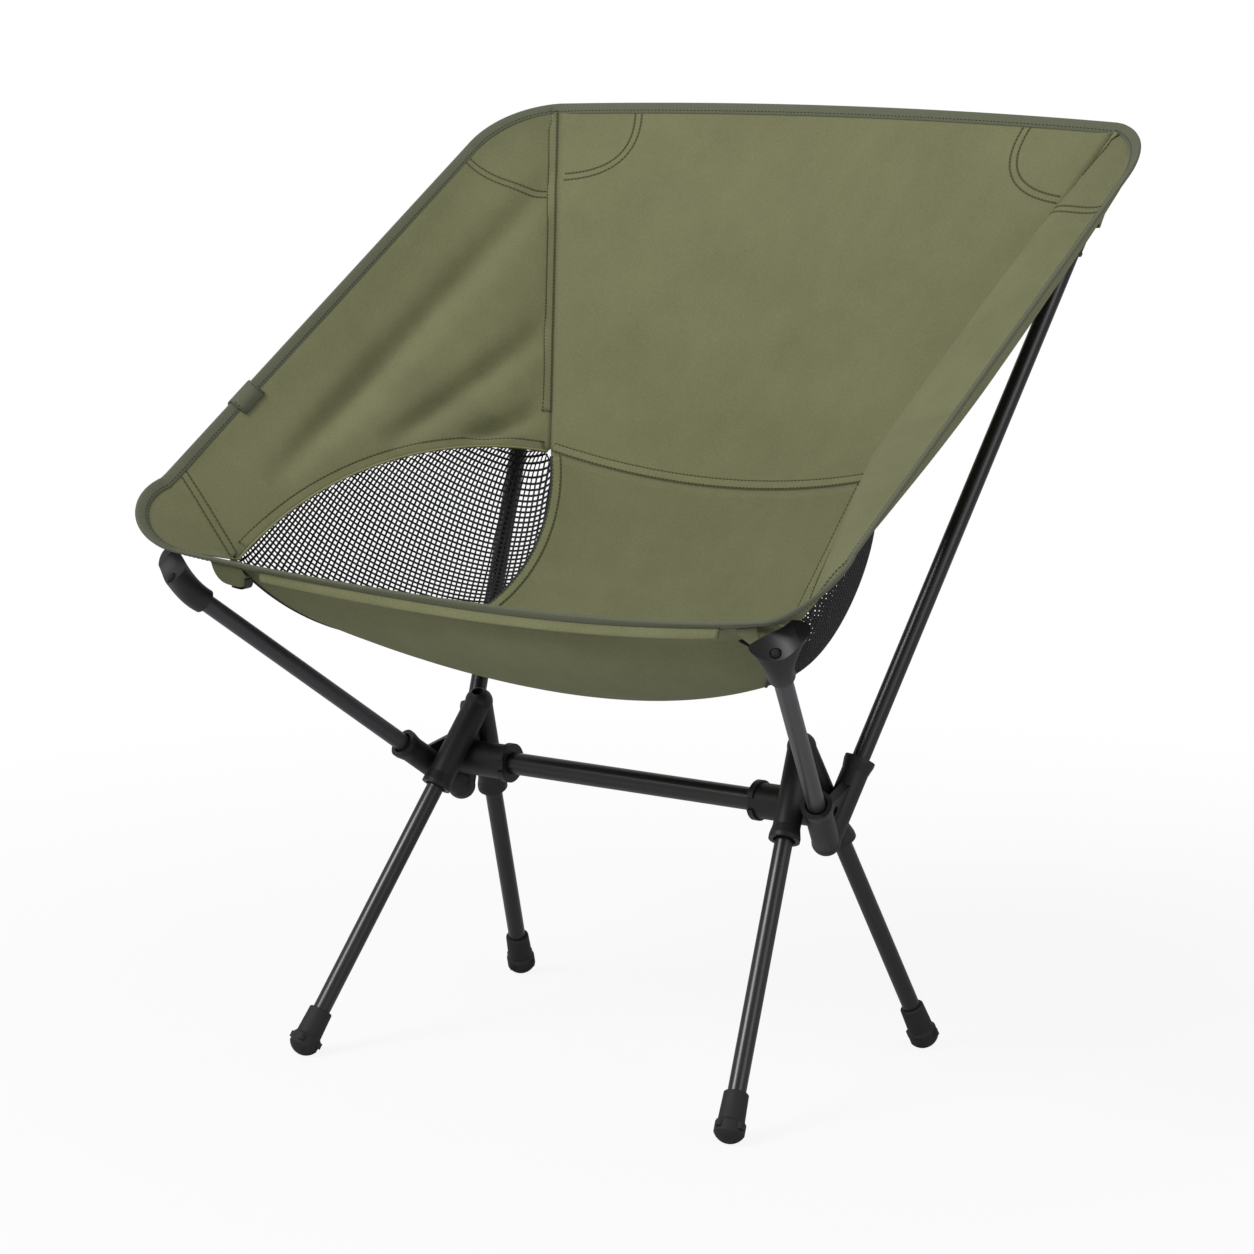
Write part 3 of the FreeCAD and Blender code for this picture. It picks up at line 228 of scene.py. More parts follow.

# %% [markdown]
# ## Hard finishes
# The tubes are satin anodised aluminium, black and smooth. The seat poles wear a lighter grey copy of that
# finish, which is painted light where they catch the lamps. The hubs and caps are moulded nylon, with the
# fine even texture of a spark-eroded tool. The feet are a duller rubber. The cords are braided, so two
# slanting waves cross over each other on them.


# %% Hard finishes
def moulded(name, dark, light, roughness, depth, coarse):
    finish = Finish(name, {"Specular IOR Level": 0.4})
    place = finish.in_space()
    texture = finish.noise(place, coarse, 3)
    clouds = finish.noise(place, 35, 3)
    finish.show({
        "Base Color": finish.between(dark, light, clouds * 0.7 + texture * 0.3),
        "Roughness": roughness + (clouds - 0.5) * 0.15,
    })
    finish.bump(texture, depth, 0.5)
    return finish


def drawn_tube(name, dark, light, roughness):
    finish = Finish(name, {"Metallic": 0.0, "Specular IOR Level": 0.5})
    place = finish.in_space()
    clouds = finish.noise(place, 22, 4)
    grain = finish.noise(place, 1500, 2)
    finish.show({
        "Base Color": finish.between(dark, light, clouds * 0.7 + grain * 0.3),
        "Roughness": roughness + (clouds - 0.5) * 0.12,
    })
    return finish


def braided(name, dark, light, pitch):
    finish = Finish(name, {"Roughness": 0.8, "Specular IOR Level": 0.3})
    place = finish.in_space()
    height = finish.node("SeparateXYZ", {}, {"Vector": place}, out="Z")
    aside = finish.node("SeparateXYZ", {}, {"Vector": place}, out="X")
    plait = finish.wave(height + aside, pitch) * finish.wave(height - aside, pitch)
    finish.show({"Base Color": finish.between(dark, light, plait * 0.5 + 0.5)})
    finish.bump(plait, 0.0002, 0.8)
    return finish


black_tube = drawn_tube("black_tube", paint(10, 10, 12), paint(18, 18, 20), 0.32)
# A lighter grey copy of the black tube finish, painted light for the seat poles.
lit_grey_tube = drawn_tube("lit_grey_tube", paint(36, 36, 40), paint(50, 50, 55), 0.36)
hub_nylon = moulded("hub_nylon", paint(12, 12, 14), paint(24, 24, 26), 0.5, 0.00012, 1200)
cap_nylon = moulded("cap_nylon", paint(12, 12, 14), paint(25, 25, 27), 0.48, 0.00012, 1200)
foot_rubber = moulded("foot_rubber", paint(14, 14, 14), paint(30, 30, 30), 0.7, 0.0002, 600)
cord_braid = braided("cord_braid", paint(14, 14, 14), paint(46, 46, 46), 0.0016)

SLOT_FINISH = {
    "hub_plastic": hub_nylon,
    "cap_plastic": cap_nylon,
    "tube_black": black_tube,
    "foot_rubber": foot_rubber,
    "cord_black": cord_braid,
    "cloth_olive": olive_cloth,
    "binding_green": edge_tape,
    "net_black": net_yarn,
    "tape_black": black_tape,
}
for part in frame["record"]["subparts"]:
    finish = SLOT_FINISH[part["material_slot"]]
    # The seat poles take the lighter grey copy of the tube finish, as painted light.
    if part["node"].endswith("seat_pole"):
        finish = lit_grey_tube
    node = frame["nodes"][part["node"]]
    node.data.materials.clear()
    node.data.materials.append(finish.material)
print("finishes:", len(bpy.data.materials))

# %% [markdown]
# ## The sling's pattern
# A sling is sewn from few pieces, and each is bent in one direction only, because cloth hardly stretches. The
# back panel is a shallow trough between its two seams. The seat sags between the poles. The wings run from
# those seams out to the bound edge. Every piece here is a function that turns two shares, across and along,
# into a place, built from the same named places as the solid model.

# %% Places on the sling
BAR_PLACE = -30.1
RIGHT = Vector((1, 0, 0))
REAR = Vector((0, 1, 0))
DOWN = Vector((0, 0, -1))


def spot(side, back, height):
    """A place of the right half in millimetres, counted back from the crossbar, as metres in the scene."""
    return Vector((side, back + BAR_PLACE, height)) / 1000


def hand(place, side):
    """The same place on the right half, or on the left where side is -1."""
    return Vector((place.x * side, place.y, place.z))


def flip(place):
    return hand(place, -1)


def towards(way, goal):
    """A way, turned round where it points against the way to a goal."""
    return -way if way.dot(goal) < 0 else way


class Arc:
    """The circle's arc from a through b to c."""

    def __init__(self, a, b, c):
        to_b, to_c = b - a, c - a
        axis = to_b.cross(to_c)
        lean = to_c.length_squared * axis.cross(to_b) + to_b.length_squared * to_c.cross(axis)
        self.centre = a + lean / (2 * axis.length_squared)
        self.axis = axis.normalized()
        self.start = a - self.centre
        self.side = self.axis.cross(self.start)
        end = c - self.centre
        self.turn = math.atan2(end.dot(self.side), end.dot(self.start)) % math.tau
        self.length = self.turn * self.start.length

    def at(self, share):
        angle = self.turn * share
        return self.centre + self.start * math.cos(angle) + self.side * math.sin(angle)


TOP_MID = spot(0, 276, 673.5)
TOP_END = spot(248, 266, 668.5)
REAR_CORNER = spot(275, 241, 660.5)
SIDE_REAR = spot(289, 200, 638.5)
SIDE_FRONT = spot(289, -176, 418.5)
FRONT_CORNER = spot(279, -214, 392)
FRONT_END = spot(248, -213, 375.5)
FRONT_MID = spot(0, -153, 349)
STITCH = spot(139, 97, 418.5)
STITCH_MID = spot(0, 107, 401)
SEAT_LOW = spot(0, -40, 272)
WINDOW_TIP = spot(235, -162, 361)
WINDOW_LOW = spot(145, -40, 303)
SITTER = spot(0, 0, 478.5)

rear_round = Arc(TOP_END, REAR_CORNER, SIDE_REAR)
front_round = Arc(SIDE_FRONT, FRONT_CORNER, FRONT_END)

chord = WINDOW_TIP - STITCH
HALF_CHORD = chord.length / 2
window_along = chord.normalized()
low_offset = WINDOW_LOW - STITCH
window_down = (low_offset - window_along * low_offset.dot(window_along)).normalized()
window_out = towards(window_along.cross(window_down), RIGHT)
WINDOW_RISE = 0.034
WINDOW_DROP = 0.097
upper_rim = Arc(STITCH, STITCH + window_along * HALF_CHORD - window_down * WINDOW_RISE, WINDOW_TIP)
lower_rim = Arc(STITCH, STITCH + window_along * HALF_CHORD + window_down * WINDOW_DROP, WINDOW_TIP)
print("window: %.0f mm long, %.0f mm high" % (chord.length * 1000, (WINDOW_RISE + WINDOW_DROP) * 1000))


# %% [markdown]
# ### Reading between rows
# Some shapes are easier to give as a few rows than as one formula. A smooth reading between them, with the
# slope at each row taken from its neighbours, keeps the cloth free of kinks.

# %% Smooth reading
def read(values, share):
    """A value between evenly spaced values, numbers or places."""
    steps = len(values) - 1
    index = min(int(share * steps), steps - 1)
    part = share * steps - index
    first, last = values[index], values[index + 1]
    slope_first = (last - values[max(index - 1, 0)]) / 2
    slope_last = (values[min(index + 2, steps)] - first) / 2
    square, cube = part * part, part * part * part
    return (first * (2 * cube - 3 * square + 1) + slope_first * (cube - 2 * square + part)
            + last * (3 * square - 2 * cube) + slope_last * (cube - square))


class Sheet:
    """A surface over two shares. Its upper side faces the sitter unless told to face away."""

    def __init__(self, place, faces_sitter=True):
        self.at = place
        self.sense = 1 if faces_sitter else -1

    def slopes(self, u, v):
        low_u, high_u = max(u - 0.004, 0), min(u + 0.004, 1)
        low_v, high_v = max(v - 0.004, 0), min(v + 0.004, 1)
        across = (self.at(high_u, v) - self.at(low_u, v)) / (high_u - low_u)
        along = (self.at(u, high_v) - self.at(u, low_v)) / (high_v - low_v)
        return across, along

    def normal(self, u, v):
        across, along = self.slopes(u, v)
        return towards(across.cross(along).normalized(), (SITTER - self.at(u, v)) * self.sense)

    def nearest(self, wanted, u, v, turns=3):
        """The (u, v) whose place is nearest to a wanted place, searched from a first guess."""
        for turn in range(turns):
            across, along = self.slopes(u, v)
            gap = wanted - self.at(u, v)
            e, f, g = across.dot(across), across.dot(along), along.dot(along)
            p, q = gap.dot(across), gap.dot(along)
            scale = e * g - f * f
            step_u, step_v = (p * g - q * f) / scale, (q * e - p * f) / scale
            calm = min(1, 0.06 / max(abs(step_u), abs(step_v), 1e-9))
            u = min(max(u + step_u * calm, 0), 1)
            v = min(max(v + step_v * calm, 0), 1)
        return u, v

    def beside(self, u, v, heading, distance, height=0):
        """A place on the cloth a distance to the side of (u, v), and its height over the cloth."""
        normal = self.normal(u, v)
        if distance:
            wanted = self.at(u, v) + normal.cross(heading).normalized() * distance
            u, v = self.nearest(wanted, u, v)
        return self.at(u, v) + normal * height


# %% [markdown]
# ### Back and seat
# The back panel is straight down and round across. The seat's middle line is two sagging arcs, and each line
# across it is an arc from rim to rim.

# %% Back and seat
SEAT_SAG_REAR = 0.021
SEAT_SAG_FRONT = 0.022
REAR_SHARE = 0.56
TIP_SHARE = 0.93
TIP_ROW = 10 / 11


def rim_to_rim(middle, side):
    """The arc across the chair from the left to the right, through a middle place."""
    return Arc(flip(side), middle, side)


def back_place(u, v):
    return rim_to_rim(TOP_MID.lerp(STITCH_MID, v), TOP_END.lerp(STITCH, v)).at(u)


def sagging(start, end, sag):
    run = end - start
    down = towards(Vector((0, run.z, -run.y)).normalized(), DOWN)
    return Arc(start, (start + end) / 2 + down * sag, end)


seat_rear_line = sagging(STITCH_MID, SEAT_LOW, SEAT_SAG_REAR)
seat_front_line = sagging(SEAT_LOW, FRONT_MID, SEAT_SAG_FRONT)


def seat_middle(share):
    if share <= REAR_SHARE:
        return seat_rear_line.at(share / REAR_SHARE)
    return seat_front_line.at((share - REAR_SHARE) / (1 - REAR_SHARE))


def seat_place(u, v):
    if v <= TIP_ROW:
        side = lower_rim.at(v / TIP_ROW)
        centre = seat_middle(v / TIP_ROW * TIP_SHARE)
    else:
        part = (v - TIP_ROW) / (1 - TIP_ROW)
        side = WINDOW_TIP.lerp(FRONT_END, part)
        centre = seat_middle(TIP_SHARE).lerp(FRONT_MID, part)
    return rim_to_rim(centre, side).at(u)


back = Sheet(back_place)
seat = Sheet(seat_place)
for edge_name, middle, end in (("top", TOP_MID, TOP_END), ("front", FRONT_MID, FRONT_END)):
    print("%s edge %.0f mm" % (edge_name, rim_to_rim(middle, end).length * 1000))

# %% [markdown]
# ### Wings
# Each wing hangs between the seam and window on its inner side and the bound edge outside. A straight sheet
# there would look like board. The real cloth is pulled along its length, so one long fold runs down it: a
# ridge beside the seam and a valley nearer the edge. The left wing in the photograph has shorter slanting
# valleys between seam and window, so these are pressed in as soft creases.

# %% Wings
# Rows from the rear corner to the front corner: how far down the inner boundary (seam 0 to 1, window 1 to 2)
# and how far round the outline (rear corner 0 to 1, side edge 1 to 2, front corner 2 to 3).
WING_INNER = [
    0.004, 0.05, 0.12, 0.25, 0.5, 0.75, 0.97, 1.12, 1.27,
    1.42, 1.57, 1.72, 1.86, 1.95, 1.99, 1.99, 1.99, 1.99,
]
WING_OUTER = [
    0.06, 0.35, 0.65, 1, 1.18, 1.34, 1.48, 1.56, 1.65,
    1.74, 1.82, 1.9, 1.97, 2.15, 2.4, 2.62, 2.82, 2.98,
]
FOLD_DEPTH = 0.012
FOLD_END = 0.74
RIDGE_SHARE = 0.74
SWELL_SHARE = 0.1
EASE_AT_EDGE = 6
EASE_AT_SEAM = 10
CORNER_FLAT = 0.03
CORNER_RISE = 0.17
CORNER_LEAST = 0.25


def inner_edge(amount):
    if amount <= 1:
        return TOP_END.lerp(STITCH, amount)
    return upper_rim.at(amount - 1)


def outer_edge(amount):
    if amount <= 1:
        return rear_round.at(max(amount, 0))
    if amount <= 2:
        return SIDE_REAR.lerp(SIDE_FRONT, amount - 1)
    return front_round.at(min(amount - 2, 1))


def wing_flat(u, v):
    """The right wing before it is folded."""
    return inner_edge(read(WING_INNER, v)).lerp(outer_edge(read(WING_OUTER, v)), u)


class Wing(Sheet):
    """One wing with its long fold and its creases: start, end, width and depth of each."""

    def __init__(self, side, fold, creases):
        super().__init__(self.place)
        self.side = side
        self.fold = fold
        self.creases = [(wing_flat(*start), wing_flat(*end), *size) for start, end, *size in creases]

    def place(self, u, v):
        flat = wing_flat(u, v)
        low_v, high_v = max(v - 0.01, 0), min(v + 0.01, 1)
        along = wing_flat(0.5, high_v) - wing_flat(0.5, low_v)
        across = wing_flat(1, v) - wing_flat(0, v)
        out = towards(along.cross(across).normalized(), SITTER - flat)
        wave = math.sin(math.pi * min(v / FOLD_END, 1)) * self.fold
        height = wave * (RIDGE_SHARE * math.sin(math.tau * u) + SWELL_SHARE * math.sin(math.pi * u))
        for start, end, wide, deep in self.creases:
            run = end - start
            share = min(max((flat - start).dot(run) / run.length_squared, 0), 1)
            gap = (flat - start - run * share).length / wide
            height -= deep * math.exp(-gap * gap) * math.sin(math.pi * share) ** 0.7
        height *= min(1, (1 - u) * EASE_AT_EDGE, u * EASE_AT_SEAM)
        height *= min(max((v - CORNER_FLAT) / CORNER_RISE, CORNER_LEAST), 1)
        return hand(flat + out * height, self.side)


RIGHT_FOLD = 1.4
LEFT_FOLD = 0.3
# Each crease: start and end as (u, v), width and depth in metres.
right_wing = Wing(1, FOLD_DEPTH * RIGHT_FOLD, [])
left_wing = Wing(-1, FOLD_DEPTH * LEFT_FOLD, [
    ((0.02, 0.16), (0.3, 0.66), 0.012, 0.014),
    ((0.02, 0.27), (0.14, 0.53), 0.010, 0.011),
    ((0.02, 0.33), (0.06, 0.45), 0.008, 0.008),
])
WINGS = {"right": right_wing, "left": left_wing}
print("wing reaches", [round(n, 3) for n in right_wing.at(1, 0.5)])

# %% [markdown]
# ## Cutting a piece of cloth
# A flat grid is made with Blender's own operator, and each of its corners is then moved to the place that
# the surface gives for it. Its UV map keeps real metres, so the weave has one scale. A Solidify modifier
# gives the cloth its thickness, half to each side.


# %% Cutting and finishing
PANEL_THICK = 0.0009
POCKET_THICK = 0.0008
CLOTH = []
GOES_WITH = {}


def finish_piece(mesh, name, finish, nodes=(), host=None, thick=0.0):
    """Turn a bmesh into a named piece that wears a finish, rides on the frame and is sewn to its host."""
    data = bpy.data.meshes.new(name)
    mesh.to_mesh(data)
    mesh.free()
    data.shade_smooth()
    data.materials.append(finish.material)
    piece = bpy.data.objects.new(name, data)
    bpy.context.scene.collection.objects.link(piece)
    if thick:
        wall = piece.modifiers.new("thickness", "SOLIDIFY")
        wall.thickness = thick
        wall.offset = 0
        wall.use_even_offset = True
    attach(piece, "frame")
    if nodes:
        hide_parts(*nodes)
    if host:
        GOES_WITH.setdefault(host, []).append(piece)
    return piece


def cut_grid(columns, rows, place, wide, long):
    """A grid bent by a function of two shares, with metres in its UV map."""
    mesh = bmesh.new()
    cut = mesh.loops.layers.uv.new("cut")
    bmesh.ops.create_grid(mesh, x_segments=columns, y_segments=rows, size=0.5, calc_uvs=True)
    for face in mesh.faces:
        for loop in face.loops:
            loop[cut].uv = ((loop.vert.co.x + 0.5) * wide, (loop.vert.co.y + 0.5) * long)
    for vert in mesh.verts:
        vert.co = place(vert.co.x + 0.5, vert.co.y + 0.5)
    mesh.normal_update()
    return mesh


def face_sitter(mesh):
    """Turn the cloth's faces towards the sitter."""
    middle = sum((face.calc_center_median() for face in mesh.faces), Vector()) / len(mesh.faces)
    towards = sum((face.normal * face.calc_area() for face in mesh.faces), Vector())
    if towards.dot(SITTER - middle) < 0:
        bmesh.ops.reverse_faces(mesh, faces=mesh.faces[:])


def cloth_piece(name, node, sheet, grid, cut, held, on, thick=PANEL_THICK):
    """Cut a sheet, hang it in place of a stiff node and say how large it was on the cutting table."""
    mesh = cut_grid(*grid, sheet.at, *cut)
    area = sum(face.calc_area() for face in mesh.faces)
    face_sitter(mesh)
    piece = finish_piece(mesh, name, olive_cloth, [node], thick=thick)
    CLOTH.append((piece, cut, held, on, area))
    print("%s: cut %.0f x %.0f mm, %.3f square metres" % (name, cut[0] * 1000, cut[1] * 1000, area))


BACK_CUT = (0.53, 0.33)
SEAT_CUT = (0.63, 0.36)
WING_CUT = (0.17, 0.62)
BACK_ON = ["right_back_pole", "left_back_pole"]
SEAT_ON = ["right_front_cap", "left_front_cap"]
cloth_piece("back_cloth", "back_panel", back, (64, 48), BACK_CUT, "stretched", BACK_ON)
cloth_piece("seat_cloth", "seat_panel", seat, (72, 56), SEAT_CUT, "hung", SEAT_ON)
for side, wing in WINGS.items():
    wing_on = [side + "_back_pole", side + "_front_cap"]
    cloth_piece(side + "_wing_cloth", side + "_wing", wing, (44, 150), WING_CUT, "stretched", wing_on)

# %% [markdown]
# ## The window nets
# The side windows are a knitted net that bellies out. It could be one sheet with a see-through pattern, but
# real threads throw real shadows and keep their holes in any light. So a grid is turned by an eighth, its
# outer cells are trimmed to the window's outline, each cell is inset, and the middles are taken out. What is
# left are the threads. Distances along the net are kept while it is bent, so its cells stay even.

# %% Window nets
NET_PITCH = 0.0040
THREAD = 0.0013
RIM_INSET = 0.0004
NET_BULGE = 0.027
STEEPEST = 0.65
NET_REACH = 0.985
NET_THICK = 0.0008
half_run = HALF_CHORD - RIM_INSET


def rim_height(sagitta, reach):
    radius = (half_run ** 2 + sagitta ** 2) / (2 * sagitta)
    return math.sqrt(max(radius ** 2 - reach ** 2, 0)) - (radius - sagitta)


def net_line(reach):
    """The arc that the net takes from its upper to its lower rim, at a reach from the window's middle."""
    rise = max(rim_height(WINDOW_RISE - RIM_INSET, reach), 0.0002)
    drop = max(rim_height(WINDOW_DROP - RIM_INSET, reach), 0.0006)
    belly = min(NET_BULGE * math.sqrt(max(1 - (reach / half_run) ** 2, 0)), STEEPEST * (rise + drop) / 2)
    top = STITCH + window_along * (HALF_CHORD + reach) - window_down * rise
    low = STITCH + window_along * (HALF_CHORD + reach) + window_down * drop
    return Arc(top, (top + low) / 2 + window_out * max(belly, 0.0004), low)


def net_piece(side, wing):
    mesh = bmesh.new()
    half = HALF_CHORD * 1.5
    cells_across = round(half * 2 / NET_PITCH)
    bmesh.ops.create_grid(mesh, x_segments=cells_across, y_segments=cells_across, size=half)
    eighth = Matrix.Rotation(math.radians(45), 3, "Z")
    bmesh.ops.rotate(mesh, verts=mesh.verts, cent=(0, 0, 0), matrix=eighth)
    reach_most = half_run * NET_REACH
    lines = {}

    def line_at(reach):
        reach = round(min(max(reach, -reach_most), reach_most), 6)
        if reach not in lines:
            lines[reach] = net_line(reach)
        return lines[reach]

    outside = []
    for cell in mesh.faces:
        middle = cell.calc_center_median()
        if abs(middle.x) > reach_most or abs(middle.y) > line_at(middle.x).length / 2:
            outside.append(cell)
    bmesh.ops.delete(mesh, geom=outside, context="FACES")
    for vert in mesh.verts:
        vert.co.x = min(max(vert.co.x, -reach_most), reach_most)
        half_line = line_at(vert.co.x).length / 2
        vert.co.y = min(max(vert.co.y, -half_line), half_line)
    cells = mesh.faces[:]
    bmesh.ops.inset_individual(mesh, faces=cells, thickness=THREAD / 2, use_even_offset=True)
    bmesh.ops.delete(mesh, geom=cells, context="FACES_ONLY")
    for vert in mesh.verts:
        line = line_at(vert.co.x)
        vert.co = hand(line.at(0.5 + vert.co.y / line.length), wing.side)
    mesh.normal_update()
    face_sitter(mesh)
    print(side, "net:", len(cells), "holes,", len(mesh.faces), "faces")
    finish_piece(mesh, side + "_net", net_yarn, [side + "_window_net"],
                 side + "_wing_cloth", NET_THICK)


for side, wing in WINGS.items():
    net_piece(side, wing)

# %% [markdown]
# ## Trails, bands and stitches
# A seam is a line on the cloth. Here it is a trail: evenly spaced places with the cloth's normal and the way
# ahead. A band is a raised strip swept along a trail, as where a seam is folded flat and sewn down. A row of
# stitches is one small grain of thread repeated along the trail at an even pitch.


# %% Trails
def even_trail(points, step):
    """Places an even step apart along a broken line, each with its heading."""
    lengths = [0.0]
    for a, b in zip(points, points[1:]):
        lengths.append(lengths[-1] + (b - a).length)
    count = max(int(lengths[-1] / step), 2)
    trail = []
    index = 0
    for i in range(count + 1):
        wanted = lengths[-1] * i / count
        while index < len(points) - 2 and lengths[index + 1] < wanted:
            index += 1
        part = (wanted - lengths[index]) / max(lengths[index + 1] - lengths[index], 1e-9)
        trail.append(index + min(part, 1))
    return trail


def trail_on(sheet, line, step, side=0.0, height=0.0, samples=80):
    """A trail on a sheet: line turns a share into (u, v), and side moves it sideways over the cloth."""
    shares = [i / samples for i in range(samples + 1)]
    points = [sheet.at(*line(share)) for share in shares]
    marks = []
    for mark in even_trail(points, step):
        share = min(mark / samples, 1)
        before, after = max(share - 0.01, 0), min(share + 0.01, 1)
        heading = (sheet.at(*line(after)) - sheet.at(*line(before))).normalized()
        u, v = line(share)
        normal = sheet.normal(u, v)
        heading = (heading - normal * heading.dot(normal)).normalized()
        place = sheet.beside(u, v, heading, side, height)
        marks.append((place, heading, normal))
    return marks


def way_to(sheet, line, distance, goal):
    """1 where a step to a trail's positive side leads towards a goal, and -1 where it leads away."""
    plus, minus = (trail_on(sheet, line, 0.1, distance * sign)[1][0] for sign in (1, -1))
    return 1 if (plus - goal).length < (minus - goal).length else -1


STITCH_PITCH = 0.0032
STITCH_LONG = 0.0023
STITCH_WIDE = 0.0009
# The dark strip of painted shade under each row of stitches.
SHADE_STRIP_WIDE = 0.0017
SHADE_STRIP_THICK = 0.0002
SHADE_STRIP_DOWN = 0.0001


def add_stitches(mesh, trail):
    """A grain of thread at every mark of a trail."""
    for place, heading, normal in trail:
        aside = normal.cross(heading).normalized()
        turn = Matrix((heading, aside, normal)).transposed().to_4x4()
        shape = Matrix.Diagonal((STITCH_LONG / 2, STITCH_WIDE / 2, STITCH_WIDE / 2, 1))
        grain = Matrix.Translation(place) @ turn @ shape
        bmesh.ops.create_icosphere(mesh, subdivisions=1, radius=1, matrix=grain)


def shade_strip_piece(name, trail, host):
    """A narrow dark strip of painted shade, along the pucker that a tight row of stitches pulls into the
    cloth.
    """
    def place(u, v):
        spot_on, heading, normal = trail[round(v * (len(trail) - 1))]
        aside = normal.cross(heading).normalized()
        return spot_on + aside * ((u - 0.5) * SHADE_STRIP_WIDE) - normal * SHADE_STRIP_DOWN

    mesh = cut_grid(1, len(trail) - 1, place, SHADE_STRIP_WIDE, len(trail) * STITCH_PITCH)
    face_sitter(mesh)
    finish_piece(mesh, name, seam_shade, host=host, thick=SHADE_STRIP_THICK)


def stitch_piece(name, trails, host):
    """Rows of stitches as one piece, and a strip of painted shade along each row."""
    mesh = bmesh.new()
    for row, trail in enumerate(trails):
        add_stitches(mesh, trail)
        shade_strip_piece("%s_shade_strip_%d" % (name, row + 1), trail, host)
    finish_piece(mesh, name, olive_thread, host=host)
    print(name, sum(len(trail) for trail in trails), "stitches")


def crowned(share, high):
    """The height of a flat-felled seam across its width: flat on top, round at its edges."""
    edge = abs(share * 2 - 1)
    return high * (1 - edge ** 6) - 0.0001


LANES = 8
BAND_STEP = 0.004
BAND_THICK = 0.0004


def band_piece(name, sheet, line, wide, high, host, shift=0.0):
    """A raised strip along a line on a sheet, shift to its side."""
    columns = []
    for lane in range(LANES + 1):
        share = lane / LANES
        columns.append(trail_on(sheet, line, BAND_STEP, shift + wide * (share - 0.5), crowned(share, high)))
    rows = len(columns[0]) - 1

    def place(u, v):
        return columns[round(u * LANES)][round(v * rows)][0]

    mesh = cut_grid(LANES, rows, place, wide, rows * BAND_STEP)
    face_sitter(mesh)
    finish_piece(mesh, name, olive_cloth, host=host, thick=BAND_THICK)


# %% [markdown]
# ## Seams
# Back and wings are joined by flat-felled seams: two rows of stitches 6 mm apart on a slightly raised band.
# The same seam joins the back to the seat and hems the seat beside each window. The net is caught in a folded
# hem that follows the window's upper rim, with its thread near the hem's far edge.

# %% Seams between the panels
SEAM_WIDE = 0.0085
SEAM_HIGH = 0.0011
SEAM_IN = 0.0046
SEAM_GAP = 0.0058
RIM_IN = 0.0042


def felled_seam(band_name, stitch_name, sheet, line, host, shift=0.0, gap=SEAM_GAP):
    """A raised band along a line, shift to its side, with two rows of stitches a gap apart on it."""
    band_piece(band_name, sheet, line, SEAM_WIDE, SEAM_HIGH, host, shift)
    stitch_piece(stitch_name, [
        trail_on(sheet, line, STITCH_PITCH, shift - gap / 2, SEAM_HIGH),
        trail_on(sheet, line, STITCH_PITCH, shift + gap / 2, SEAM_HIGH),
    ], host)


def down_seam(share):
    return 0.0, 0.008 + share * 0.322


def beside_window(u):
    return lambda share: (u, 0.012 + share * 0.72)


def cross_seam(share):
    return 0.01 + share * 0.98, 0.985


for side, wing in WINGS.items():
    outward = SEAM_IN * way_to(wing, down_seam, SEAM_IN, wing.at(1, 0.2))
    felled_seam(side + "_seam", side + "_seam_stitches", wing, down_seam, side + "_wing_cloth", outward)
for side, u in (("right", 1.0), ("left", 0.0)):
    inward = RIM_IN * way_to(seat, beside_window(u), RIM_IN, seat.at(0.5, 0.4))
    felled_seam(side + "_rim_hem", side + "_rim_stitches", seat, beside_window(u), "seat_cloth", inward)
felled_seam("seat_seam", "seat_seam_stitches", back, cross_seam, "back_cloth", gap=-SEAM_GAP)

# %% Window hems and pipings
HEM_WIDE = 0.0088
HEM_RISE = 0.0009
HEM_ROW = 1.75  # the thread's place across the hem, in half widths
UPPER_PIPING = 0.0009
LOWER_PIPING = 0.0013
PIPING_SIDES = 10
RIM_FIRST = 0.37
RIM_LAST = 0.765


def close_up(mesh, sides):
    """Join a swept outline to itself, cap its ends and turn its faces outward."""
    bmesh.ops.remove_doubles(mesh, verts=mesh.verts, dist=1e-6)
    bmesh.ops.holes_fill(mesh, edges=mesh.edges, sides=sides + 2)
    bmesh.ops.recalc_face_normals(mesh, faces=mesh.faces)


def tube_along(name, points, radius, finish, host):
    """A thin round piping: a circle carried along places."""
    count = len(points) - 1

    def place(u, v):
        index = round(v * count)
        before, after = points[max(index - 1, 0)], points[min(index + 1, count)]
        heading = (after - before).normalized()
        first = heading.cross(Vector((0.31, 0.2, 0.93))).normalized()
        second = heading.cross(first)
        angle = math.tau * u
        return points[index] + first * (radius * math.cos(angle)) + second * (radius * math.sin(angle))

    length = sum((b - a).length for a, b in zip(points, points[1:]))
    mesh = cut_grid(PIPING_SIDES, count, place, math.tau * radius, length)
    close_up(mesh, PIPING_SIDES)
    finish_piece(mesh, name, finish, host=host)


def rim_places(rim, count, side):
    return [hand(rim.at(0.01 + 0.98 * i / count), side) for i in range(count + 1)]


def along_rim(u):
    return lambda share: (u, RIM_FIRST + share * (RIM_LAST - RIM_FIRST))


for side, wing in WINGS.items():
    shift = HEM_WIDE / 2 * way_to(wing, along_rim(0.02), HEM_WIDE / 2, wing.at(1, 0.6))
    host = side + "_wing_cloth"
    band_piece(side + "_window_hem", wing, along_rim(0.0), HEM_WIDE, HEM_RISE, host, shift)
    hem_row = trail_on(wing, along_rim(0.0), STITCH_PITCH, shift * HEM_ROW, HEM_RISE)
    stitch_piece(side + "_window_stitches", [hem_row], host)
    upper, lower = rim_places(upper_rim, 90, wing.side), rim_places(lower_rim, 110, wing.side)
    # The upper piping wears the lighter olive, a painted highlight along the hem's fold.
    tube_along(side + "_window_piping", upper, UPPER_PIPING, highlit_piping, host)
    tube_along(side + "_lower_piping", lower, LOWER_PIPING, black_tape, host)

# %% [markdown]
# ## Corner pockets
# The pole ends sit in pockets behind the cloth. From the front only their sewing shows: a double row in a
# wide curve round each rear corner, and a double row across each front corner to the window's tip.


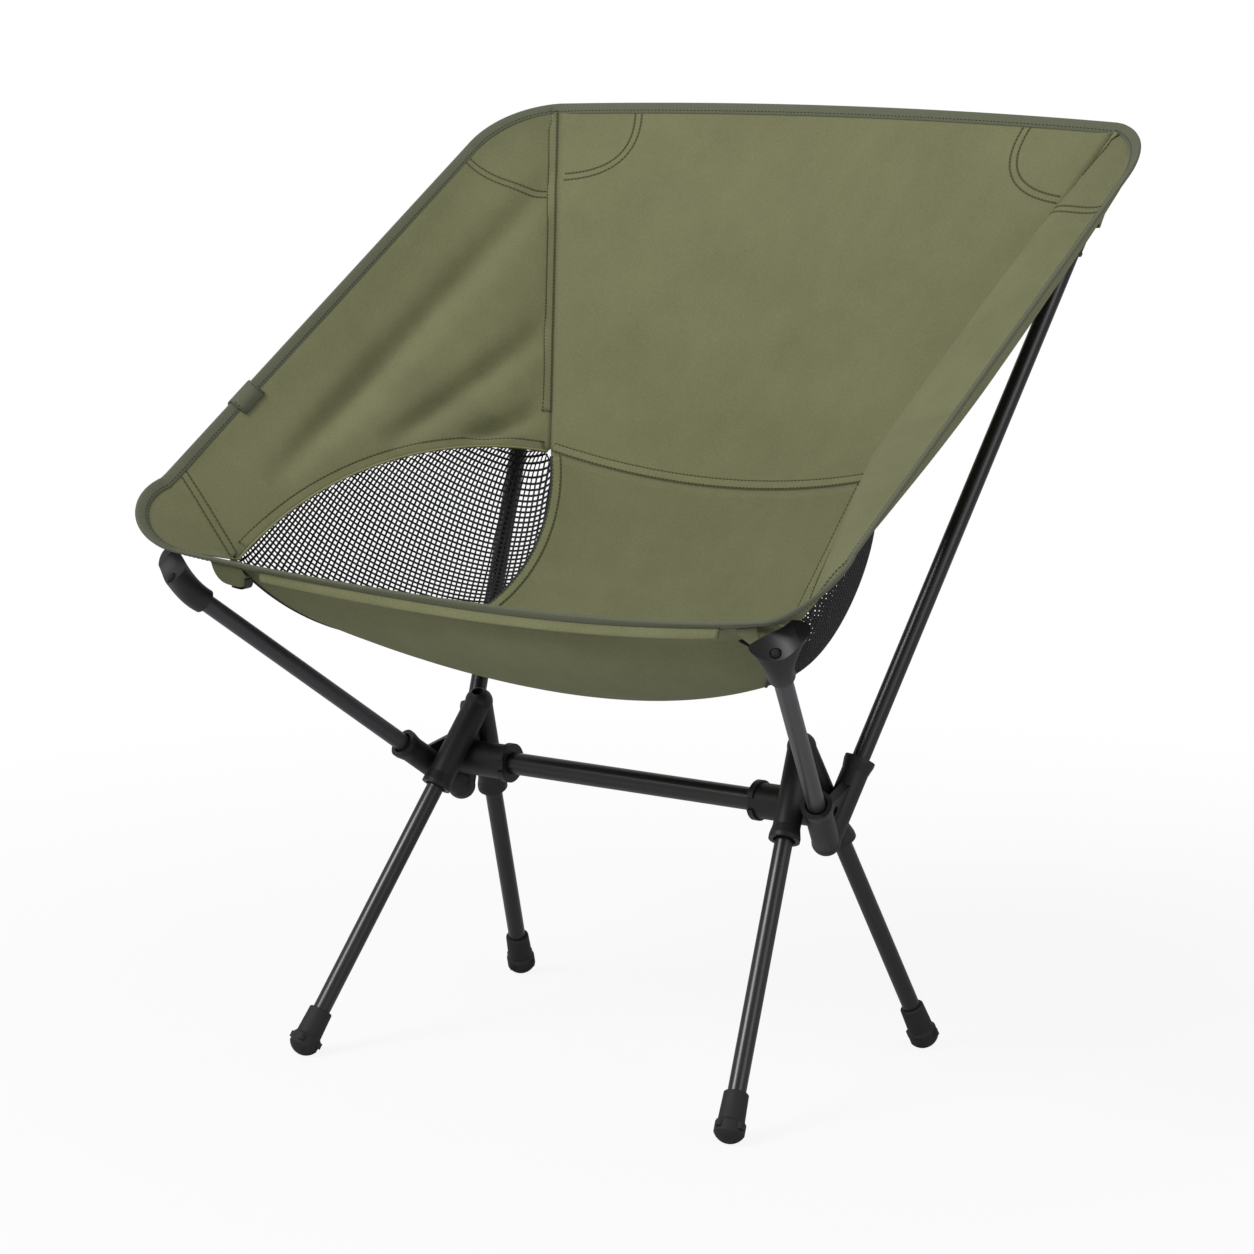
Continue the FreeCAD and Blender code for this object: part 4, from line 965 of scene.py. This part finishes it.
# %% Sewing of the corner pockets
def straight_over(sheet, start, end, steps=24):
    """A line over a sheet from one (u, v) to another, straight as it is seen and not in shares."""
    first, last = sheet.at(*start), sheet.at(*end)
    spots = [start]
    for i in range(1, steps + 1):
        spots.append(sheet.nearest(first.lerp(last, i / steps), *spots[-1]))
    across, along = zip(*spots)
    return lambda share: (read(across, share), read(along, share))


def bowed(first, middle, last):
    """A curved line over a panel through three (u, v) places."""
    def line(share):
        a, b, c = (1 - share) ** 2, 2 * share * (1 - share), share ** 2
        through = [2 * m - (f + l) / 2 for f, m, l in zip(first, middle, last)]
        return tuple(a * f + b * t + c * l for f, t, l in zip(first, through, last))
    return line


ROW_GAP = 0.0058
ROW_HIGH = 0.0006
for side, wing in WINGS.items():
    inner_u = 0.845 if side == "right" else 0.155
    seam_u = 0.985 if side == "right" else 0.015
    middle_u = 0.875 if side == "right" else 0.125
    rear_back = bowed((inner_u, 0.02), (middle_u, 0.16), (seam_u, 0.222))
    rear_wing = bowed((0.04, 0.184), (0.45, 0.1915), (0.95, 0.186))
    front_wing = straight_over(wing, (0.93, 0.70), (0.03, 0.80))
    wing_row = ROW_GAP * way_to(wing, rear_wing, ROW_GAP, wing.at(0.5, 0))
    front_row = ROW_GAP * way_to(wing, front_wing, ROW_GAP, wing.at(1, 1))
    host = side + "_wing_cloth"
    back_row = ROW_GAP * way_to(back, rear_back, ROW_GAP, back.at(seam_u, 0))
    for row in (0, 1):
        stitch_piece("%s_pocket_row_%d" % (side, row + 1), [
            trail_on(back, rear_back, STITCH_PITCH, back_row * row, ROW_HIGH),
            trail_on(wing, rear_wing, STITCH_PITCH, wing_row * row, ROW_HIGH),
            trail_on(wing, front_wing, STITCH_PITCH, front_row * row, ROW_HIGH),
        ], host)

# %% [markdown]
# ## Binding
# The whole edge is wrapped in grosgrain tape, folded over the cloth and sewn through near its inner edge. It
# is one closed ring, so a rounded flat section is carried round the outline and joined to itself. Its width
# leans into the cloth at each place, which is why each frame keeps the way inward and the way up.

# %% Binding
BIND_OUT = 0.002
BIND_IN = 0.008
BIND_HALF = 0.0017
BIND_CALM = 6
HALF_EDGE = 0.497


def edge_frame(sheet, at_edge, inside, for_normal):
    """A place on the edge, the way inward from it and the cloth's normal close to it."""
    edge = sheet.at(*at_edge)
    return edge, sheet.at(*inside) - edge, sheet.normal(*for_normal)


def edge_frames():
    """Edge, way inward and way up along the right half, from the top's middle to the front's middle."""
    frames = []
    for i in range(36):
        u = 0.5 + HALF_EDGE * i / 35
        frames.append(edge_frame(back, (u, 0), (u, 0.03), (u, 0.01)))
    for i in range(120):
        v = i / 119
        frames.append(edge_frame(right_wing, (1, v), (0.955, v), (0.985, v)))
    for i in range(44):
        u = 0.5 + HALF_EDGE * (1 - i / 43)
        frames.append(edge_frame(seat, (u, 1), (u, 0.95), (u, 0.98)))
    ready = []
    for index, (edge, inward, up) in enumerate(frames):
        if index in (0, len(frames) - 1):
            inward, up = Vector((0, inward.y, inward.z)), Vector((0, up.y, up.z))
        ready.append((edge, inward.normalized(), up.normalized()))
    return ready


def calmed(frames, rounds):
    """Average the ways inward and up with their neighbours, so that the tape doesn't twist suddenly."""
    for turn in range(rounds):
        calm = [frames[0]]
        for before, here, after in zip(frames, frames[1:], frames[2:]):
            inward = (before[1] + here[1] * 2 + after[1]).normalized()
            up = (before[2] + here[2] * 2 + after[2]).normalized()
            calm.append((here[0], inward, up))
        frames = calm + [frames[-1]]
    squared = []
    for index, (edge, inward, up) in enumerate(frames):
        before, after = frames[max(index - 1, 0)][0], frames[min(index + 1, len(frames) - 1)][0]
        heading = (after - before).normalized()
        inward = (inward - heading * inward.dot(heading)).normalized()
        up = up - heading * up.dot(heading)
        up = (up - inward * up.dot(inward)).normalized()
        squared.append((edge, inward, up))
    return squared


right_half = calmed(edge_frames(), BIND_CALM)
left_half = [(flip(edge), flip(inward), flip(up)) for edge, inward, up in right_half]
ring = right_half + left_half[::-1][1:-1]


def binding_section(share):
    """The tape's outline across: (inward, up) in metres."""
    angle = math.tau * share
    reach = (BIND_IN + BIND_OUT) / 2
    high = math.sin(angle)
    return BIND_IN - reach + reach * math.cos(angle), BIND_HALF * math.copysign(abs(high) ** 0.45, high)


def binding_place(u, v):
    edge, inward, up = ring[round(v * len(ring)) % len(ring)]
    a, b = binding_section(u)
    return edge + inward * a + up * b


ring_length = sum((b[0] - a[0]).length for a, b in zip(ring, ring[1:]))
mesh = cut_grid(20, len(ring), binding_place, 0.022, ring_length)
bmesh.ops.remove_doubles(mesh, verts=mesh.verts, dist=1e-6)
bmesh.ops.recalc_face_normals(mesh, faces=mesh.faces)
finish_piece(mesh, "binding", edge_tape, ["edge_binding"], "back_cloth")
print("binding: %.2f m round" % ring_length)


def binding_trail(depth, lift):
    """Marks along the tape at a depth from its outer edge, on its upper face."""
    points = [edge + inward * depth + up * lift for edge, inward, up in ring]
    points.append(points[0])
    marks = []
    for mark in even_trail(points, STITCH_PITCH):
        index = min(int(mark), len(points) - 2)
        part = mark - index
        heading = (points[index + 1] - points[index]).normalized()
        marks.append((points[index].lerp(points[index + 1], part), heading, ring[index][2]))
    return marks[:-1]


BIND_ROW_IN = 0.0054
BIND_ROW_HIGH = BIND_HALF * 0.92
mesh = bmesh.new()
add_stitches(mesh, binding_trail(BIND_ROW_IN, BIND_ROW_HIGH))
add_stitches(mesh, binding_trail(BIND_ROW_IN, -BIND_ROW_HIGH))
finish_piece(mesh, "binding_stitches", olive_thread, host="back_cloth")

# %% [markdown]
# ## Small sewn pieces
# A loop tag is folded over the left side edge. Tapes cover the back of the side seams. A hem turns the front
# edge's cloth under. Each is a flat section carried along a few frames, with its ends closed.


# %% Tapes, tag and hem
def flat_strip(name, frames, outline, finish, host, nodes, length):
    """A closed outline of (across, up) places carried along frames of (place, across, up)."""
    corners = len(outline)

    def place(u, v):
        origin, across, up = frames[round(v * (len(frames) - 1))]
        a, b = outline[round(u * corners) % corners]
        return origin + across * a + up * b

    mesh = cut_grid(corners, len(frames) - 1, place, 0.02, length)
    close_up(mesh, corners)
    finish_piece(mesh, name, finish, nodes, host)


def tape_outline(wide, low, high):
    """A flat tape's section with softened edges."""
    half, soft = wide / 2, (high - low) / 3
    return [(-half + soft, low), (0, low), (half - soft, low), (half, low + soft), (half, high - soft),
            (half - soft, high), (0, high), (-half + soft, high), (-half, high - soft), (-half, low + soft)]


seam_way = (STITCH - TOP_END).normalized()
seam_up = (back.normal(0.98, 0.5) + right_wing.normal(0.1, 0.22)).normalized()
seam_up = (seam_up - seam_way * seam_up.dot(seam_way)).normalized()
COVER = tape_outline(0.009, -0.0021, -0.0009)
COVER_LONG = 0.25
for side, wing in WINGS.items():
    frames = []
    for i in range(13):
        here = TOP_END.lerp(STITCH, 0.13 + 0.84 * i / 12)
        frames.append([hand(vector, wing.side) for vector in (here, seam_way.cross(seam_up), seam_up)])
    flat_strip(side + "_seam_cover", frames, COVER, edge_tape, "back_cloth",
               [side + "_seam_tape"], COVER_LONG)

tag_frames = []
TAG_AT = 0.762
TAG_LONG = 0.026
edge_way = flip((SIDE_FRONT - SIDE_REAR).normalized())
tag_middle = flip(SIDE_REAR.lerp(SIDE_FRONT, TAG_AT))
nearest = min(left_half, key=lambda frame: (frame[0] - tag_middle).length)
tag_out, tag_high = 0.0019, 0.0029
TAG_OUTLINE = [
    (-0.0022, -tag_out), (0.012, -tag_out), (0.0122, -tag_high), (-0.0030, -tag_high), (-0.0036, 0.0),
    (-0.0030, tag_high), (0.0122, tag_high), (0.0125, tag_out), (-0.0022, tag_out), (-0.0026, 0.0),
]
for i in range(7):
    along = edge_way * (TAG_LONG * (i / 6 - 0.5))
    tag_frames.append((tag_middle + along, nearest[1], nearest[2]))
flat_strip("edge_tag", tag_frames, TAG_OUTLINE, edge_tape, "left_wing_cloth",
           ["loop_tag"], TAG_LONG)
tag_mesh = bmesh.new()
for end in (-1, 1):
    row = []
    for i in range(4):
        where = tag_frames[3][0] + edge_way * (end * (TAG_LONG / 2 - 0.0015))
        where += nearest[1] * (0.001 + i * STITCH_PITCH) + nearest[2] * tag_high
        row.append((where, nearest[1], nearest[2]))
    add_stitches(tag_mesh, row)
finish_piece(tag_mesh, "edge_tag_stitches", olive_thread, host="left_wing_cloth")

HEM_HIGH = 0.0075
HEM_HALF = 0.0007
HEM_LONG = 0.4
hem_frames = []
for i in range(81):
    u = 0.115 + 0.77 * i / 80
    edge = seat.at(u, 1)
    inward = (seat.at(u, 0.95) - edge).normalized()
    down = -seat.normal(u, 0.98)
    hanging = (down * 0.85 + inward * 0.5).normalized()
    facing = (down * 0.5 - inward * 0.85).normalized()
    hem_frames.append((edge + inward * 0.006 + down * (BIND_HALF + HEM_HIGH / 2 - 0.0006), hanging, facing))
flat_strip("front_edge_hem", hem_frames, tape_outline(HEM_HIGH, -HEM_HALF, HEM_HALF), olive_cloth,
           "seat_cloth", ["front_hem"], HEM_LONG)


# %% [markdown]
# ## Pockets
# Behind each rear corner a pocket wraps the end of the back pole. Under each front corner a flap of cloth
# holds the moulded cap, with black tape along its mouth. Both are given by a few rows across, read smoothly.

# %% Rear pockets
POLE_APEX = spot(160, 8, 174)
BACK_TIP = spot(238.3, 268, 640.4)
pole_way = (BACK_TIP - POLE_APEX).normalized()
behind = towards(pole_way.cross(RIGHT).normalized(), REAR)
beside_pole = towards(behind.cross(pole_way).normalized(), RIGHT)
SKIN = 0.0013
SLEEVE_OUT = 0.0085
SLACK = 0.0034
WRAP = math.radians(70)
# Each line: share down the seam, where it starts on the back panel, place along and across the wing,
# distance past the pole's end, and how much of the slack it has.
POCKET_LINES = [
    (0.24, 0.90, 0.18, 0.40, -0.046, 1.0),
    (0.15, 0.86, 0.12, 0.55, -0.024, 1.0),
    (0.085, 0.83, 0.06, 0.68, -0.002, 1.0),
    (0.05, 0.83, 0.06, 0.74, 0.013, 0.6),
]


def pocket_rows_on(wing):
    """The pocket's rows, on the right half, that follow one of the wings."""
    def on_wing(u, v, away):
        return hand(wing.at(u, v) - wing.normal(u, v) * away, wing.side)

    rows = []
    for down, panel_share, wing_v, wing_u, past_end, slack in POCKET_LINES:
        inner = back.at(panel_share, down) - back.normal(panel_share, down) * (SKIN + 0.0005)
        outer = on_wing(wing_u, wing_v, SKIN + 0.001)
        reach = SLEEVE_OUT + SLACK * slack
        axis = BACK_TIP + pole_way * past_end
        flank = beside_pole * (math.sin(WRAP) * reach)
        off = behind * (math.cos(WRAP) * reach)
        rows.append([inner, axis + off - flank, axis + behind * reach, axis + off + flank, outer])
    inner = back.at(0.84, 0.034) - back.normal(0.84, 0.034) * (SKIN + 0.0005)
    outer = on_wing(0.77, 0.055, SKIN + 0.001)
    ridge = TOP_END.lerp(STITCH, 0.034) + behind * (SKIN + 0.001)
    near, far = [(end + ridge) / 2 + behind * 0.001 for end in (inner, outer)]
    rows.append([inner, near, ridge, far, outer])
    return rows


def pocket_on(wing):
    rows = pocket_rows_on(wing)
    return Sheet(lambda u, v: hand(read([read(row, u) for row in rows], v), wing.side), faces_sitter=False)


POCKET_CUT = (0.12, 0.075)
for side, wing in WINGS.items():
    cloth_piece(side + "_pole_pocket", side + "_rear_pocket", pocket_on(wing), (30, 24), POCKET_CUT,
                "stretched", [side + "_back_sleeve"], POCKET_THICK)

# %% Front pockets
FLAP_SHARES = [0.918, 0.933, 0.948, 0.962]
FLAP_FULL = [0.35, 0.75, 1.0, 1.0]
FLAP_DROP = Vector((0, 0.030, -0.020))
FLAP_BELLY = 0.0065
GRIP = 0.009
FLAP_CUT = (0.045, 0.04)


def front_inset(distance, u):
    edge = seat.at(u, 1)
    return edge + (seat.at(u, 0.95) - edge).normalized() * distance


def flap_line(v):
    u = read(FLAP_SHARES, v)
    full = read(FLAP_FULL, v)
    under = seat.normal(u, 0.98)
    top = front_inset(GRIP, u) - under * 0.0018
    low = top + FLAP_DROP * full
    out = towards(RIGHT.cross(low - top).normalized(), DOWN)
    return top, low, out, full


def flap_place(u, v):
    top, low, out, full = flap_line(v)
    return Arc(top, (top + low) / 2 + out * (FLAP_BELLY * full), low).at(u)


def flap_on(side):
    return Sheet(lambda u, v: hand(flap_place(u, v), side), faces_sitter=False)


MOUTH = tape_outline(0.009, 0.0006, 0.0018)
MOUTH_LONG = 0.05
for side, wing in WINGS.items():
    cloth_piece(side + "_corner_flap", side + "_front_pocket", flap_on(wing.side), (16, 20), FLAP_CUT,
                "stretched", [side + "_front_cap"], POCKET_THICK)
    frames = []
    for i in range(17):
        v = i / 16
        low = flap_place(1, v)
        inward = (flap_place(0.86, v) - low).normalized()
        up = flap_line(v)[2]
        up = (up - inward * up.dot(inward)).normalized()
        frames.append([hand(vector, wing.side) for vector in (low + inward * 0.0035, inward, up)])
    flat_strip(side + "_mouth_tape", frames, MOUTH, black_tape, side + "_corner_flap",
               [side + "_pocket_tape"], MOUTH_LONG)

# %% [markdown]
# ## What the cloth was cut to
# Every sheet is listed with the size it was cut to, what holds it and its area, and here the sheets are
# counted. The sewn-on strips, nets and stitches go with the sheet that they are on.

for piece, cut, held, on, area in CLOTH:
    min(area, cut[0] * cut[1])
print("sheets:", len(CLOTH))

# %% [markdown]
# ## Floor and light
# The photograph has a white ground with only soft shadows under the feet. The floor is pale, and for the
# camera it also glows, more so away from the chair, which hides where it ends but keeps the shadows. Two
# large soft lamps and an even sky light the chair at a plain level.

# %% Floor
FLOOR_GREY = 0.62
GLOW_NEAR = 0.89
GLOW_FROM = 0.45
GLOW_FULL = 1.2


def split_by_ray(tree, output, for_light, for_camera):
    """Empty a node tree, and blend a shader for light rays with one for camera rays."""
    tree.nodes.clear()
    kinds = (output, "MixShader", "LightPath", for_light, for_camera)
    out, blend, rays, lit, seen = [tree.nodes.new("ShaderNode" + kind) for kind in kinds]
    tree.links.new(rays.outputs["Is Camera Ray"], blend.inputs[0])
    tree.links.new(lit.outputs[0], blend.inputs[1])
    tree.links.new(seen.outputs[0], blend.inputs[2])
    tree.links.new(blend.outputs[0], out.inputs["Surface"])
    return rays, blend, lit, seen


floor_mesh = bmesh.new()
bmesh.ops.create_grid(floor_mesh, x_segments=1, y_segments=1, size=14)
floor_data = bpy.data.meshes.new("floor")
floor_mesh.to_mesh(floor_data)
floor_mesh.free()
floor = bpy.data.objects.new("floor", floor_data)
bpy.context.scene.collection.objects.link(floor)
floor_paint = bpy.data.materials.new("floor_paint")
floor_paint.use_nodes = True
tree = floor_paint.node_tree
rays, blend, matt, glow = split_by_ray(tree, "OutputMaterial", "BsdfDiffuse", "Emission")
matt.inputs["Color"].default_value = (FLOOR_GREY, FLOOR_GREY, FLOOR_GREY, 1)
place = tree.nodes.new("ShaderNodeTexCoord")
away = tree.nodes.new("ShaderNodeVectorMath")
away.operation = "LENGTH"
glow_share = tree.nodes.new("ShaderNodeMapRange")
glow_share.inputs["From Min"].default_value = GLOW_FROM
glow_share.inputs["From Max"].default_value = GLOW_FULL
glow_share.inputs["To Min"].default_value = GLOW_NEAR
glow_share.inputs["To Max"].default_value = 1.0
seen = tree.nodes.new("ShaderNodeMath")
seen.operation = "MULTIPLY"
tree.links.new(place.outputs["Object"], away.inputs[0])
tree.links.new(away.outputs["Value"], glow_share.inputs["Value"])
tree.links.new(rays.outputs["Is Camera Ray"], seen.inputs[0])
tree.links.new(glow_share.outputs["Result"], seen.inputs[1])
tree.links.new(seen.outputs[0], blend.inputs[0])
floor_data.materials.append(floor_paint)

# %% Sky and lamps
SKY_LIGHT = 0.58
LAMPS_AIM = Vector((0, 0, 0.35))
world = bpy.data.worlds.new("sky")
bpy.context.scene.world = world
world.use_nodes = True
rays, blend, plain, white = split_by_ray(world.node_tree, "OutputWorld", "Background", "Background")
for background, strength in ((plain, SKY_LIGHT), (white, 1.0)):
    background.inputs["Strength"].default_value = strength
    background.inputs["Color"].default_value = (1, 1, 1, 1)


def softbox(name, place, wide, power):
    lamp = bpy.data.lights.new(name, "AREA")
    lamp.shape = "DISK"
    lamp.size = wide
    lamp.energy = power
    lamp_object = bpy.data.objects.new(name, lamp)
    lamp_object.location = place
    lamp_object.rotation_euler = (LAMPS_AIM - Vector(place)).to_track_quat("-Z", "Y").to_euler()
    bpy.context.scene.collection.objects.link(lamp_object)


softbox("key", place=(-1.2, -2.2, 2.6), wide=1.3, power=76)
softbox("fill", place=(2.8, -0.6, 1.6), wide=1.6, power=16)

scene = bpy.context.scene
scene.view_settings.view_transform = "Standard"
